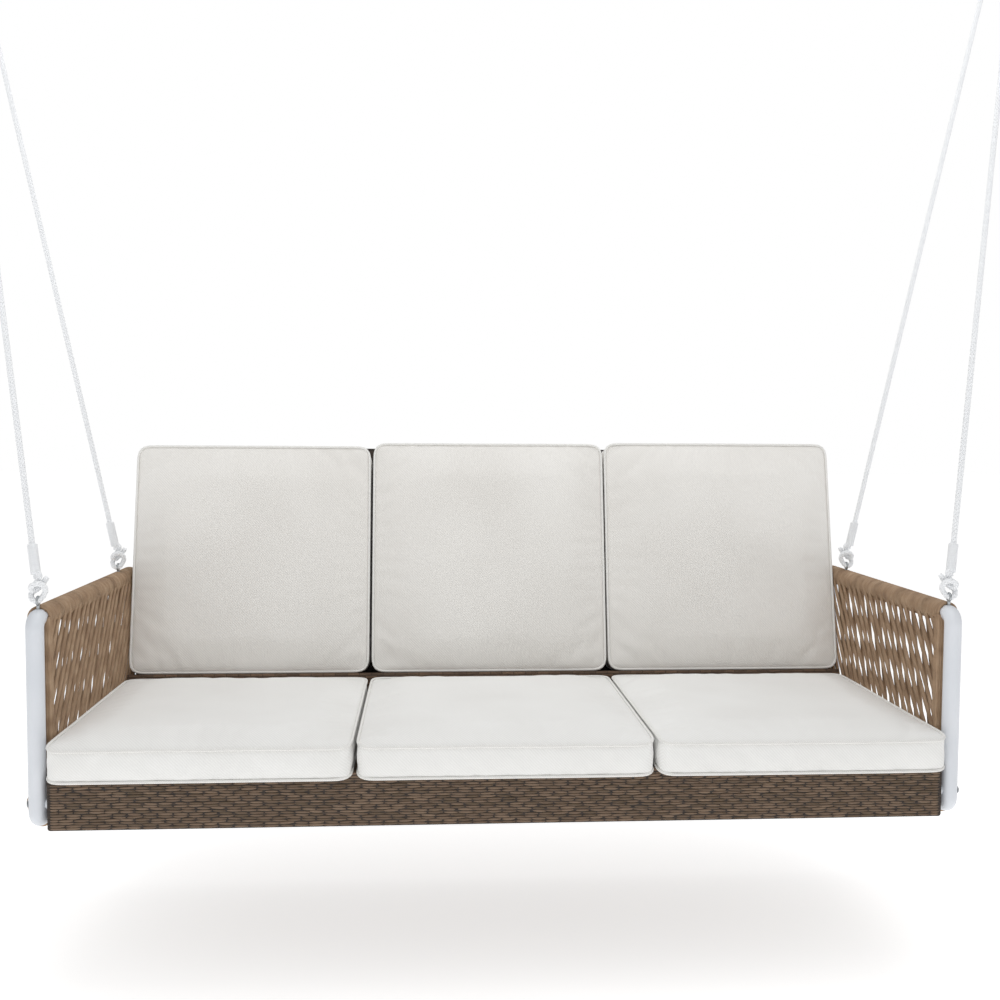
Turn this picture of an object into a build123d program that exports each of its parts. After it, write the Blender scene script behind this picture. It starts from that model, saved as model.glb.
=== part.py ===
"""Three-seat hanging porch swing: a woven bench on four ropes under two ceiling hangers.

Row frame, in millimetres: +Z up, the sitter looks along -Y, +X is on the right of someone
who faces the bench. The origin is the centre of the four ceiling bolts, at the top faces of
the ceiling plates, so the whole swing hangs below Z = 0.

Sizes of the bench itself are given in bench coordinates: Y from the centre plane of the front
posts backwards, and Z from the lowest point of the bench upwards.
"""

from build123d import *
from math import cos, radians, sin, sqrt, tan
import os

os.makedirs("parts", exist_ok=True)

# Arm loops: bent round tube, one at each end of the bench
POST_X = 856
TUBE_R = 16
TUBE_WALL = 1.5
BEND_R = 18
LOWER_RAIL_Z = 16
UPPER_RAIL_Z = 385
SIDES = (("left", -1), ("right", 1))

# Lean of the back, and the point of its middle plane at seat height
LEAN = 11.5
LEAN_Y = 622
LEAN_Z = 165

# Cord wound on the arm loops
CORD_D = 5.5
WRAP_R = TUBE_R + CORD_D
BORE_GAP = 0.2
WRAP_START_Y = TUBE_R + BORE_GAP * 11
LEG_GAP = 18
BAND_MID_Z = 40
BAND_MID_R = 25
BAND_TOP_Z = 56
BAND_TOP_R = 16
SIDE_RAIL_R = 10

# Seat and back frames: square tube inside woven sleeves
FRAME_HALF = 834
RAIL = 25
RAIL_WALL = 1.5
SKIN = 3
APRON_DEPTH = 33
APRON_HEIGHT = 96
DECK_THICK = 4
REAR_Y = 600
STRUT_COUNT = 8
CROSS_X = 278
BACK_BOTTOM_Z = 104
BACK_TOP_Z = 686
UPRIGHT_X = 278
LEDGE_FRONT_Y = 516
LEDGE_TOP_Z = 172.3

# Cushions
SEAT_PITCH = 556.5
CUSHION_WIDTH = 553
CUSHION_CORNER = 24
CUSHION_EDGE = 14
SEAT_FRONT_Y = -52
SEAT_BACK_Y = 512
SEAT_BOTTOM_Z = 100.5
SEAT_TOP_Z = 165.5
BACK_FRONT_Y = 519
BACK_CUSHION_BOTTOM_Z = 152
BACK_CUSHION_TOP_Z = 688

# Fasteners between the arm loops and the frames
BOLT_R = 4
BOLT_HOLE_R = 4.2
BOLT_HEAD_R = 7
BOLT_HEAD = 1.8
BOLT_INNER_X = 812
SPACER_R = 9
LOW_BOLT_Z = 46
HIGH_BOLT_Z = 300

# Rope eyes on the arm rails
EYE_FRONT_Y = 20
EYE_REAR_Y = 547
EYE_R = 7
EYE_WIRE_R = 2.5
EYE_Z = 416.2
EYE_SHANK_R = 3
EYE_SHANK_BOTTOM_Z = 384
RIVET_R = 5
RIVET_LENGTH = 14

# Ropes and what is on them
ROPE_R = 6
KNOT_WIDE = 20
KNOT_HIGH = 28
KNOT_Z = 438
KNOT_BITE = 8
SLEEVE_R = 9.5
SLEEVE_LENGTH = 55
LOOP_R = 17
LOOP_GAP = 1.8
SEIZING_R = 8
SEIZING_START = 9
SEIZING_LENGTH = 60

# Hangers: where the two ropes of a side meet, in bench coordinates
MEET_X = 1200
BALANCE_Y = 431
MEET_Z = 2231
ROPE_PAIR_GAP = 14
RING_R = 28
RING_WIRE_R = 5
LINK_LENGTH = 62
LINK_EYE_R = 14
LINK_THICK = 16
SHANK_WIDE = 16
SHANK_THICK = 10
RING_HOLE_R = 9
RING_HOLE_BOSS_R = 15
RING_DROP = 2.5
PIVOT_DROP = 38
PIVOT_R = 5
PIVOT_GAP = 0.05
BUSHING_R = 8
BUSHING_LENGTH = 25
EAR_GAP = 26
EAR_THICK = 6
EAR_R = 16
PLATE_X = 76
PLATE_Y = 150
PLATE_THICK = 6
PLATE_HOLE_R = 5.5
PLATE_HOLE_SPACING = 110
NUT_ACROSS = 17
NUT_THICK = 8
BOLT_TAIL = 3

RING_TOP_Z = -PIVOT_DROP - LINK_LENGTH - RING_DROP
RING_Z = RING_TOP_Z - RING_R
RING_BOTTOM_Z = RING_Z - RING_R
BENCH_DROP = MEET_Z - RING_BOTTOM_Z


def bench(x, y, z):
    """A point given in bench coordinates, in the row frame."""
    return Vector(x, y - BALANCE_Y, z - BENCH_DROP)


def level(z):
    """A horizontal plane at bench height z, its origin over the front posts' centre plane."""
    return Plane(origin=bench(0, 0, z), x_dir=(1, 0, 0), z_dir=(0, 0, 1))


def side_plane(x):
    """An upright plane across the bench at x: its own x runs backwards and its y up."""
    return Plane(origin=bench(x, 0, 0), x_dir=(0, 1, 0), z_dir=(1, 0, 0))


def front_plane(y):
    """An upright plane along the bench at y: its own x is X and its y is up."""
    return Plane(origin=bench(0, y, 0), x_dir=(1, 0, 0), z_dir=(0, -1, 0))


def lean_y(z):
    """Bench Y of the leaning middle plane of the back at bench height z."""
    return LEAN_Y + (z - LEAN_Z) * tan(radians(LEAN))


def lean_plane(z, forward=0):
    """The back's leaning plane through bench height z, moved forward square to itself."""
    facing = Vector(0, -cos(radians(LEAN)), sin(radians(LEAN)))
    origin = bench(0, lean_y(z), z) + facing * forward
    return Plane(origin=origin, x_dir=(1, 0, 0), z_dir=facing)


# Arm loops: front post, upper rail, leaning rear leg and lower rail in one bent tube

loop_corners = [
    (0, LOWER_RAIL_Z),
    (0, UPPER_RAIL_Z),
    (lean_y(UPPER_RAIL_Z), UPPER_RAIL_Z),
    (lean_y(LOWER_RAIL_Z), LOWER_RAIL_Z),
]
bolt_places = [
    (0, LOW_BOLT_Z),
    (lean_y(LOW_BOLT_Z), LOW_BOLT_Z),
    (lean_y(HIGH_BOLT_Z), HIGH_BOLT_Z),
]
eye_ys = (EYE_FRONT_Y, EYE_REAR_Y)
UPPER_TOP_Z = UPPER_RAIL_Z + TUBE_R

for side, sign in SIDES:
    with BuildPart() as arm_frame:
        with BuildLine(side_plane(sign * POST_X)) as loop_path:
            FilletPolyline(*loop_corners, radius=BEND_R, close=True)
        start_plane = Plane(
            origin=loop_path.wire() @ 0, z_dir=loop_path.wire() % 0
        )
        with BuildSketch(start_plane):
            Circle(TUBE_R)
        sweep(path=loop_path.wire())
        with BuildSketch(start_plane):
            Circle(TUBE_R - TUBE_WALL)
        sweep(path=loop_path.wire(), mode=Mode.SUBTRACT)
        with BuildSketch(side_plane(sign * POST_X)):
            with Locations(*bolt_places):
                Circle(BOLT_HOLE_R)
        extrude(amount=TUBE_R + 1, both=True, mode=Mode.SUBTRACT)
        with BuildSketch(level(UPPER_RAIL_Z)):
            with Locations(*[(sign * POST_X, y) for y in eye_ys]):
                Circle(RIVET_R)
        extrude(amount=TUBE_R + 1, mode=Mode.SUBTRACT)
    arm_frame.part.label = f"arm_frame_{side}"
    export_step(arm_frame.part, f"parts/arm_frame_{side}.step")

# Side rails: a thin tube low in each loop, which the wound band of cord passes over

SIDE_RAIL_END_Y = lean_y(BAND_TOP_Z) - TUBE_R - 4
for side, sign in SIDES:
    with BuildPart() as arm_side_rail:
        with BuildSketch(front_plane(TUBE_R + BORE_GAP)):
            with Locations((sign * POST_X, BAND_TOP_Z)):
                Circle(SIDE_RAIL_R)
                Circle(SIDE_RAIL_R - RAIL_WALL, mode=Mode.SUBTRACT)
        extrude(amount=-(SIDE_RAIL_END_Y - TUBE_R))
    arm_side_rail.part.label = f"arm_side_rail_{side}"
    export_step(arm_side_rail.part, f"parts/arm_side_rail_{side}.step")

# Cord wound round the upper rails, a sleeve as thick as the cord

WRAP_END_Y = lean_y(UPPER_RAIL_Z) - LEG_GAP - 4
for side, sign in SIDES:
    with BuildPart() as arm_rail_wrap:
        with BuildSketch(front_plane(WRAP_START_Y)):
            with Locations((sign * POST_X, UPPER_RAIL_Z)):
                Circle(WRAP_R)
                Circle(TUBE_R + BORE_GAP, mode=Mode.SUBTRACT)
        extrude(amount=-(WRAP_END_Y - WRAP_START_Y))
        with BuildSketch(level(UPPER_RAIL_Z)):
            with Locations(*[(sign * POST_X, y) for y in eye_ys]):
                Circle(RIVET_R + BORE_GAP)
        extrude(amount=WRAP_R + 1, mode=Mode.SUBTRACT)
    arm_rail_wrap.part.label = f"arm_rail_wrap_{side}"
    export_step(arm_rail_wrap.part, f"parts/arm_rail_wrap_{side}.step")

# Cord wound round the lower rail and the side rail together: a sleeve with bulging sides

BAND_END_Y = lean_y(LOWER_RAIL_Z) - LEG_GAP - 6
for side, sign in SIDES:
    band_rounds = [
        (LOWER_RAIL_Z, WRAP_R),
        (BAND_MID_Z, BAND_MID_R),
        (BAND_TOP_Z, BAND_TOP_R),
    ]
    with BuildPart() as arm_band:
        with BuildSketch(front_plane(WRAP_START_Y)):
            for z, r in band_rounds:
                shift = 0 if r <= WRAP_R else sign * (r - WRAP_R)
                with Locations((sign * POST_X + shift, z)):
                    Circle(r)
            make_hull()
        extrude(amount=-(BAND_END_Y - WRAP_START_Y))
        with BuildSketch(front_plane(WRAP_START_Y)):
            for z, r in band_rounds:
                shift = 0 if r <= WRAP_R else sign * (r - WRAP_R)
                with Locations((sign * POST_X + shift, z)):
                    Circle(r - CORD_D + BORE_GAP)
            make_hull()
        extrude(amount=-(BAND_END_Y - WRAP_START_Y), mode=Mode.SUBTRACT)
    arm_band.part.label = f"arm_band_{side}"
    export_step(arm_band.part, f"parts/arm_band_{side}.step")

# Arm weave: an inner and an outer layer of cord from the upper wrap down to the band

WEAVE_BOTTOM_Z = 76
WEAVE_TOP_Z = UPPER_RAIL_Z
weave_corners = [
    (WRAP_START_Y, WEAVE_BOTTOM_Z),
    (WRAP_START_Y, WEAVE_TOP_Z),
    (lean_y(WEAVE_TOP_Z) - LEG_GAP - 4, WEAVE_TOP_Z),
    (lean_y(WEAVE_BOTTOM_Z) - LEG_GAP - 4, WEAVE_BOTTOM_Z),
]
for side, sign in SIDES:
    with BuildPart() as arm_weave:
        for layer in (-1, 1):
            with BuildSketch(side_plane(sign * POST_X + layer * (WRAP_R - CORD_D))):
                with BuildLine():
                    Polyline(*weave_corners, close=True)
                make_face()
            extrude(amount=layer * CORD_D)
        with BuildSketch(front_plane(WRAP_START_Y - 1)):
            with Locations((sign * POST_X, UPPER_RAIL_Z)):
                Circle(WRAP_R + BORE_GAP)
        extrude(amount=-(WRAP_END_Y - WRAP_START_Y + LEG_GAP), mode=Mode.SUBTRACT)
    arm_weave.part.label = f"arm_weave_{side}"
    export_step(arm_weave.part, f"parts/arm_weave_{side}.step")

# Front and rear frames of the seat: ladders of square tube, each inside a woven sleeve

strut_step = (2 * FRAME_HALF - 2 * SKIN - RAIL - 2) / (STRUT_COUNT - 1)
ladder_half = FRAME_HALF - SKIN - 0.5
low_rail_z = SKIN + 0.5 + RAIL / 2
high_rail_z = APRON_HEIGHT - SKIN - 0.5 - RAIL / 2
ladder_height = high_rail_z - low_rail_z + RAIL
ladder_mid_z = (high_rail_z + low_rail_z) / 2


def ladder(shrink):
    """Two rails and their struts, each thinner by shrink all round."""
    with Locations((0, low_rail_z), (0, high_rail_z)):
        Rectangle(2 * (ladder_half - shrink), RAIL - 2 * shrink)
    with Locations((0, ladder_mid_z)):
        with GridLocations(strut_step, 1, STRUT_COUNT, 1):
            Rectangle(RAIL - 2 * shrink, ladder_height - 2 * shrink)


for place, ladder_y, bolt_y in (
    ("front", 0, 0),
    ("rear", REAR_Y, lean_y(LOW_BOLT_Z)),
):
    with BuildPart() as seat_frame:
        with BuildSketch(front_plane(ladder_y)):
            ladder(0)
        extrude(amount=RAIL / 2, both=True)
        with BuildSketch(front_plane(ladder_y)):
            ladder(RAIL_WALL)
        extrude(amount=RAIL / 2 - RAIL_WALL, both=True, mode=Mode.SUBTRACT)
        for sign in (-1, 1):
            with BuildSketch(side_plane(sign * (ladder_half + 1))):
                with Locations((bolt_y, LOW_BOLT_Z)):
                    Circle(BOLT_HOLE_R)
            extrude(amount=-sign * (ladder_half + 1 - BOLT_INNER_X), mode=Mode.SUBTRACT)
    seat_frame.part.label = f"seat_frame_{place}"
    export_step(seat_frame.part, f"parts/seat_frame_{place}.step")

    with BuildPart() as apron:
        with BuildSketch(front_plane(ladder_y)):
            with Locations((0, APRON_HEIGHT / 2)):
                RectangleRounded(2 * FRAME_HALF, APRON_HEIGHT, 5)
        extrude(amount=APRON_DEPTH / 2, both=True)
        with BuildSketch(front_plane(ladder_y)):
            with Locations((0, APRON_HEIGHT / 2)):
                Rectangle(2 * (FRAME_HALF - SKIN), APRON_HEIGHT - 2 * SKIN)
        extrude(amount=APRON_DEPTH / 2 - SKIN, both=True, mode=Mode.SUBTRACT)
        with BuildSketch(side_plane(0)):
            with Locations((bolt_y, LOW_BOLT_Z)):
                Circle(BOLT_HOLE_R)
        extrude(amount=FRAME_HALF + 1, both=True, mode=Mode.SUBTRACT)
    apron.part.label = f"{place}_apron"
    export_step(apron.part, f"parts/{place}_apron.step")

# Side rails and cross bars of the seat, between the two woven sleeves

seat_bar_z = APRON_HEIGHT - BORE_GAP - RAIL / 2
seat_bar_start = APRON_DEPTH / 2
seat_bar_length = REAR_Y - APRON_DEPTH


def seat_bars(xs):
    """Square tubes from the front sleeve to the rear sleeve at each x."""
    with BuildSketch(front_plane(seat_bar_start)) as section:
        with Locations(*[(x, seat_bar_z) for x in xs]):
            Rectangle(RAIL, RAIL)
            Rectangle(RAIL - 2 * RAIL_WALL, RAIL - 2 * RAIL_WALL, mode=Mode.SUBTRACT)
    extrude(section.sketch, amount=-seat_bar_length)


for side, sign in SIDES:
    with BuildPart() as seat_side_rail:
        seat_bars([sign * (FRAME_HALF - RAIL / 2)])
    seat_side_rail.part.label = f"seat_side_rail_{side}"
    export_step(seat_side_rail.part, f"parts/seat_side_rail_{side}.step")

with BuildPart() as seat_cross_bars:
    seat_bars([-CROSS_X, CROSS_X])
seat_cross_bars.part.label = "seat_cross_bars"
export_step(seat_cross_bars.part, "parts/seat_cross_bars.step")

# Woven deck that the cushions lie on

back_half = RAIL / 2 + SKIN + 0.5
back_front = back_half / cos(radians(LEAN))
DECK_BACK_Y = lean_y(APRON_HEIGHT + DECK_THICK) - back_front - 1
with BuildPart() as seat_deck:
    with BuildSketch(level(APRON_HEIGHT)):
        with Locations((0, (DECK_BACK_Y - APRON_DEPTH / 2) / 2)):
            Rectangle(2 * FRAME_HALF, DECK_BACK_Y + APRON_DEPTH / 2)
    extrude(amount=DECK_THICK)
seat_deck.part.label = "seat_deck"
export_step(seat_deck.part, "parts/seat_deck.step")

# Back frame: square tubes in the leaning plane, inside one woven sleeve

lean_cos = cos(radians(LEAN))
back_height = (BACK_TOP_Z - BACK_BOTTOM_Z) / lean_cos
tube_inset = SKIN + 0.5
back_rail_half = FRAME_HALF - tube_inset


def lean_tube(x, v, wide, high):
    """A closed square tube lying in the leaning plane."""
    with BuildSketch(lean_plane(BACK_BOTTOM_Z)) as outside:
        with Locations((x, v)):
            Rectangle(wide, high)
    extrude(outside.sketch, amount=RAIL / 2, both=True)
    with BuildSketch(lean_plane(BACK_BOTTOM_Z)) as inside:
        with Locations((x, v)):
            Rectangle(wide - 2 * RAIL_WALL, high - 2 * RAIL_WALL)
    extrude(inside.sketch, amount=RAIL / 2 - RAIL_WALL, both=True, mode=Mode.SUBTRACT)


for name, v in (
    ("bottom", tube_inset + RAIL / 2),
    ("top", back_height - tube_inset - RAIL / 2),
):
    with BuildPart() as back_rail:
        lean_tube(0, v, 2 * back_rail_half, RAIL)
    back_rail.part.label = f"back_{name}_rail"
    export_step(back_rail.part, f"parts/back_{name}_rail.step")

upright_high = back_height - 2 * tube_inset - 2 * RAIL
for side, sign in SIDES:
    with BuildPart() as back_upright:
        lean_tube(sign * (back_rail_half - RAIL / 2), back_height / 2, RAIL, upright_high)
        with BuildSketch(side_plane(sign * (FRAME_HALF + 1))):
            with Locations((lean_y(HIGH_BOLT_Z), HIGH_BOLT_Z)):
                Circle(BOLT_HOLE_R)
        extrude(amount=-sign * (FRAME_HALF + 1 - BOLT_INNER_X), mode=Mode.SUBTRACT)
    back_upright.part.label = f"back_upright_{side}"
    export_step(back_upright.part, f"parts/back_upright_{side}.step")

with BuildPart() as back_middle_uprights:
    for sign in (-1, 1):
        lean_tube(sign * UPRIGHT_X, back_height / 2, RAIL, upright_high)
back_middle_uprights.part.label = "back_middle_uprights"
export_step(back_middle_uprights.part, "parts/back_middle_uprights.step")

with BuildPart() as back_panel:
    with BuildSketch(lean_plane(BACK_BOTTOM_Z)):
        with Locations((0, back_height / 2)):
            RectangleRounded(2 * FRAME_HALF, back_height, 6)
    extrude(amount=back_half, both=True)
    with BuildSketch(lean_plane(BACK_BOTTOM_Z)):
        with Locations((0, back_height / 2)):
            Rectangle(2 * (FRAME_HALF - SKIN), back_height - 2 * SKIN)
    extrude(amount=back_half - SKIN, both=True, mode=Mode.SUBTRACT)
    with BuildSketch(side_plane(0)):
        with Locations((lean_y(HIGH_BOLT_Z), HIGH_BOLT_Z)):
            Circle(BOLT_HOLE_R)
    extrude(amount=FRAME_HALF + 1, both=True, mode=Mode.SUBTRACT)
back_panel.part.label = "back_panel"
export_step(back_panel.part, "parts/back_panel.step")

# Woven ledge behind the seat cushions, which the back cushions stand on

ledge_bottom_z = APRON_HEIGHT + DECK_THICK
ledge_drop = tan(radians(LEAN))
ledge_back_low = lean_y(ledge_bottom_z) - back_front - 0.5
ledge_corners = [
    (LEDGE_FRONT_Y, ledge_bottom_z),
    (LEDGE_FRONT_Y, LEDGE_TOP_Z),
]
ledge_depth = (lean_y(LEDGE_TOP_Z) - back_front - 0.5 - LEDGE_FRONT_Y) * lean_cos**2
ledge_corners += [
    (LEDGE_FRONT_Y + ledge_depth, LEDGE_TOP_Z - ledge_depth * ledge_drop),
    (ledge_back_low, ledge_bottom_z),
]
with BuildPart() as back_ledge:
    with BuildSketch(side_plane(0)) as ledge_profile:
        with BuildLine():
            Polyline(*ledge_corners, close=True)
        make_face()
        offset(amount=-SKIN, mode=Mode.SUBTRACT)
    extrude(amount=FRAME_HALF - 2, both=True)
back_ledge.part.label = "back_ledge"
export_step(back_ledge.part, "parts/back_ledge.step")

# Cushions: rounded pads, three on the seat and three standing on the ledge

cushion_names = (("left", -1), ("middle", 0), ("right", 1))
for place, step in cushion_names:
    with BuildPart() as seat_cushion:
        with BuildSketch(level(SEAT_BOTTOM_Z)):
            with Locations((step * SEAT_PITCH, (SEAT_FRONT_Y + SEAT_BACK_Y) / 2)):
                RectangleRounded(
                    CUSHION_WIDTH, SEAT_BACK_Y - SEAT_FRONT_Y, CUSHION_CORNER
                )
        extrude(amount=SEAT_TOP_Z - SEAT_BOTTOM_Z)
        rims = seat_cushion.edges().group_by(Axis.Z)
        fillet(rims[0] + rims[-1], radius=CUSHION_EDGE)
    seat_cushion.part.label = f"seat_cushion_{place}"
    export_step(seat_cushion.part, f"parts/seat_cushion_{place}.step")

back_thick = (lean_y(BACK_CUSHION_BOTTOM_Z) - BACK_FRONT_Y) * lean_cos - back_half - 0.6
back_long = (BACK_CUSHION_TOP_Z - BACK_CUSHION_BOTTOM_Z) / lean_cos
for place, step in cushion_names:
    cushion_plane = lean_plane(BACK_CUSHION_BOTTOM_Z, back_half + 0.6)
    with BuildPart() as back_cushion:
        with BuildSketch(cushion_plane):
            with Locations((step * SEAT_PITCH, back_long / 2)):
                RectangleRounded(CUSHION_WIDTH, back_long, CUSHION_CORNER)
        extrude(amount=back_thick)
        lean_axis = Axis((0, 0, 0), cushion_plane.z_dir)
        rims = back_cushion.edges().group_by(lean_axis)
        fillet(rims[0] + rims[-1], radius=CUSHION_EDGE)
    back_cushion.part.label = f"back_cushion_{place}"
    export_step(back_cushion.part, f"parts/back_cushion_{place}.step")

# Bolts through the posts and legs into the frames, with a spacer behind each

with BuildPart() as frame_bolts:
    for sign in (-1, 1):
        with BuildSketch(side_plane(sign * (POST_X + TUBE_R))):
            with Locations(*bolt_places):
                Circle(BOLT_R)
        extrude(amount=-sign * (POST_X + TUBE_R - BOLT_INNER_X))
        with BuildSketch(side_plane(sign * (POST_X + TUBE_R))):
            with Locations(*bolt_places):
                Circle(BOLT_HEAD_R)
        extrude(amount=sign * BOLT_HEAD, taper=20)
frame_bolts.part.label = "frame_bolts"
export_step(frame_bolts.part, "parts/frame_bolts.step")

with BuildPart() as frame_spacers:
    for sign in (-1, 1):
        with BuildSketch(side_plane(sign * FRAME_HALF)):
            with Locations(*bolt_places):
                Circle(SPACER_R)
                Circle(BOLT_HOLE_R, mode=Mode.SUBTRACT)
        extrude(amount=sign * (POST_X - TUBE_R - FRAME_HALF))
frame_spacers.part.label = "frame_spacers"
export_step(frame_spacers.part, "parts/frame_spacers.step")

# Rope eyes in the upper rails: wire eyes screwed into rivet nuts in the top of the tube

eye_places = [(sign * POST_X, y) for _, sign in SIDES for y in eye_ys]
with BuildPart() as rope_eyes:
    with BuildSketch(level(EYE_SHANK_BOTTOM_Z)):
        with Locations(*eye_places):
            Circle(EYE_SHANK_R)
    extrude(amount=EYE_Z - EYE_R - EYE_SHANK_BOTTOM_Z)
    for x, y in eye_places:
        eye_axis = Axis(bench(x, y, EYE_Z), (1, 0, 0))
        with BuildSketch(Plane(origin=bench(x, y, EYE_Z), x_dir=(1, 0, 0), z_dir=(0, -1, 0))):
            with Locations((0, EYE_R)):
                Circle(EYE_WIRE_R)
        revolve(axis=eye_axis)
rope_eyes.part.label = "rope_eyes"
export_step(rope_eyes.part, "parts/rope_eyes.step")

with BuildPart() as rivet_nuts:
    with BuildSketch(level(UPPER_TOP_Z - RIVET_LENGTH)):
        with Locations(*eye_places):
            Circle(RIVET_R)
            Circle(EYE_SHANK_R + PIVOT_GAP, mode=Mode.SUBTRACT)
    extrude(amount=RIVET_LENGTH)
rivet_nuts.part.label = "rivet_nuts"
export_step(rivet_nuts.part, "parts/rivet_nuts.step")

# Ropes: taut between a knot on each rail eye and a seized loop on the hanger ring

ROPE_LOOP_DROP = LOOP_R - ROPE_R - RING_WIRE_R - LOOP_GAP
for side, sign in SIDES:
    loop_pieces = []
    for place, eye_y, shift in (
        ("front", EYE_FRONT_Y, -ROPE_PAIR_GAP / 2),
        ("rear", EYE_REAR_Y, ROPE_PAIR_GAP / 2),
    ):
        ring_rise = RING_R - sqrt(RING_R**2 - shift**2)
        ring_wire = Vector(sign * (MEET_X + shift), 0, RING_BOTTOM_Z + ring_rise)
        knot_centre = bench(sign * POST_X, eye_y, KNOT_Z)
        down = (knot_centre - ring_wire).normalized()
        loop_centre = ring_wire + down * ROPE_LOOP_DROP
        rope_top = loop_centre + down * (LOOP_R + ROPE_R)
        rope_bottom = knot_centre - down * (KNOT_HIGH - KNOT_BITE)
        rope_length = (rope_bottom - rope_top).length
        print(f"rope_{place}_{side}: {rope_length:.1f} mm, straight")

        with BuildPart() as rope:
            with BuildSketch(Plane(origin=rope_top, z_dir=down)):
                Circle(ROPE_R)
            extrude(amount=rope_length)
        rope.part.label = f"rope_{place}_{side}"
        export_step(rope.part, f"parts/rope_{place}_{side}.step")

        with BuildPart() as knot:
            with BuildSketch(Plane(origin=knot_centre, x_dir=(1, 0, 0), z_dir=(0, -1, 0))):
                Ellipse(KNOT_WIDE, KNOT_HIGH)
                with Locations((-KNOT_WIDE / 2, 0)):
                    Rectangle(KNOT_WIDE, 2 * KNOT_HIGH, mode=Mode.SUBTRACT)
            revolve(axis=Axis(knot_centre, (0, 0, 1)))
        knot.part.label = f"knot_{place}_{side}"
        export_step(knot.part, f"parts/knot_{place}_{side}.step")

        sleeve_bottom = rope_bottom - down * KNOT_BITE
        with BuildPart() as rope_sleeve:
            with BuildSketch(Plane(origin=sleeve_bottom, z_dir=down)):
                Circle(SLEEVE_R)
                Circle(ROPE_R, mode=Mode.SUBTRACT)
            extrude(amount=-SLEEVE_LENGTH)
        rope_sleeve.part.label = f"rope_sleeve_{place}_{side}"
        export_step(rope_sleeve.part, f"parts/rope_sleeve_{place}_{side}.step")
        loop_pieces.append((loop_centre, rope_top, down))

    with BuildPart() as rope_loops:
        for loop_centre, rope_top, down in loop_pieces:
            across = (Vector(1, 0, 0) - down * down.X).normalized()
            with BuildSketch(Plane(origin=loop_centre, x_dir=down, z_dir=across.cross(down))):
                with Locations((LOOP_R, 0)):
                    Circle(ROPE_R)
            revolve(axis=Axis(loop_centre, across))
    rope_loops.part.label = f"rope_loops_{side}"
    export_step(rope_loops.part, f"parts/rope_loops_{side}.step")

    with BuildPart() as rope_seizings:
        for loop_centre, rope_top, down in loop_pieces:
            seizing_top = rope_top + down * SEIZING_START
            with BuildSketch(Plane(origin=seizing_top, z_dir=down)):
                Circle(SEIZING_R)
                Circle(ROPE_R, mode=Mode.SUBTRACT)
            extrude(amount=SEIZING_LENGTH)
    rope_seizings.part.label = f"rope_seizings_{side}"
    export_step(rope_seizings.part, f"parts/rope_seizings_{side}.step")

# Hangers: ceiling plate with two ears, pivot bolt, bushing, link and ring

ear_outer = EAR_GAP / 2 + EAR_THICK
hanger_planes = [
    Plane(origin=(sign * MEET_X, 0, 0), x_dir=(0, 1, 0), z_dir=(1, 0, 0)) for _, sign in SIDES
]
pivot_spot = (0, -PIVOT_DROP)

for (side, sign), ear_plane in zip(SIDES, hanger_planes):
    with BuildPart() as ceiling_plate:
        with BuildSketch(Plane(origin=(sign * MEET_X, 0, -PLATE_THICK))):
            RectangleRounded(PLATE_X, PLATE_Y, 10)
            with GridLocations(1, PLATE_HOLE_SPACING, 1, 2):
                Circle(PLATE_HOLE_R, mode=Mode.SUBTRACT)
        extrude(amount=PLATE_THICK)
        for ear in (-1, 1):
            with BuildSketch(ear_plane.offset(ear * EAR_GAP / 2)):
                with Locations(pivot_spot):
                    Circle(EAR_R)
                with Locations((0, -(PIVOT_DROP + PLATE_THICK) / 2)):
                    Rectangle(2 * EAR_R, PIVOT_DROP - PLATE_THICK)
                with Locations(pivot_spot):
                    Circle(PIVOT_R + 5 * PIVOT_GAP, mode=Mode.SUBTRACT)
            extrude(amount=ear * EAR_THICK)
    ceiling_plate.part.label = f"ceiling_plate_{side}"
    export_step(ceiling_plate.part, f"parts/ceiling_plate_{side}.step")

    with BuildPart() as hanger_link:
        with BuildSketch(ear_plane):
            with Locations(pivot_spot):
                Circle(LINK_EYE_R)
        extrude(amount=LINK_THICK / 2, both=True)
        with BuildSketch(ear_plane):
            with Locations((0, -PIVOT_DROP - LINK_LENGTH / 2)):
                Rectangle(SHANK_WIDE, LINK_LENGTH)
            with Locations((0, -PIVOT_DROP - LINK_LENGTH)):
                Circle(RING_HOLE_BOSS_R)
        extrude(amount=SHANK_THICK / 2, both=True)
        with BuildSketch(ear_plane):
            with Locations(pivot_spot):
                Circle(BUSHING_R)
            with Locations((0, -PIVOT_DROP - LINK_LENGTH)):
                Circle(RING_HOLE_R)
        extrude(amount=LINK_THICK, both=True, mode=Mode.SUBTRACT)
    hanger_link.part.label = f"hanger_link_{side}"
    export_step(hanger_link.part, f"parts/hanger_link_{side}.step")

    ring_plane = Plane(origin=(sign * MEET_X, 0, RING_Z), x_dir=(1, 0, 0), z_dir=(0, -1, 0))
    with BuildPart(ring_plane) as hanger_ring:
        Torus(RING_R, RING_WIRE_R)
    hanger_ring.part.label = f"hanger_ring_{side}"
    export_step(hanger_ring.part, f"parts/hanger_ring_{side}.step")

with BuildPart() as pivot_bolts:
    for ear_plane in hanger_planes:
        with BuildSketch(ear_plane.offset(ear_outer)):
            with Locations(pivot_spot):
                RegularPolygon(NUT_ACROSS / 2, 6, major_radius=False)
        extrude(amount=NUT_THICK)
        with BuildSketch(ear_plane.offset(ear_outer)):
            with Locations(pivot_spot):
                Circle(PIVOT_R)
        extrude(amount=-(2 * ear_outer + NUT_THICK + BOLT_TAIL))
pivot_bolts.part.label = "pivot_bolts"
export_step(pivot_bolts.part, "parts/pivot_bolts.step")

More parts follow.
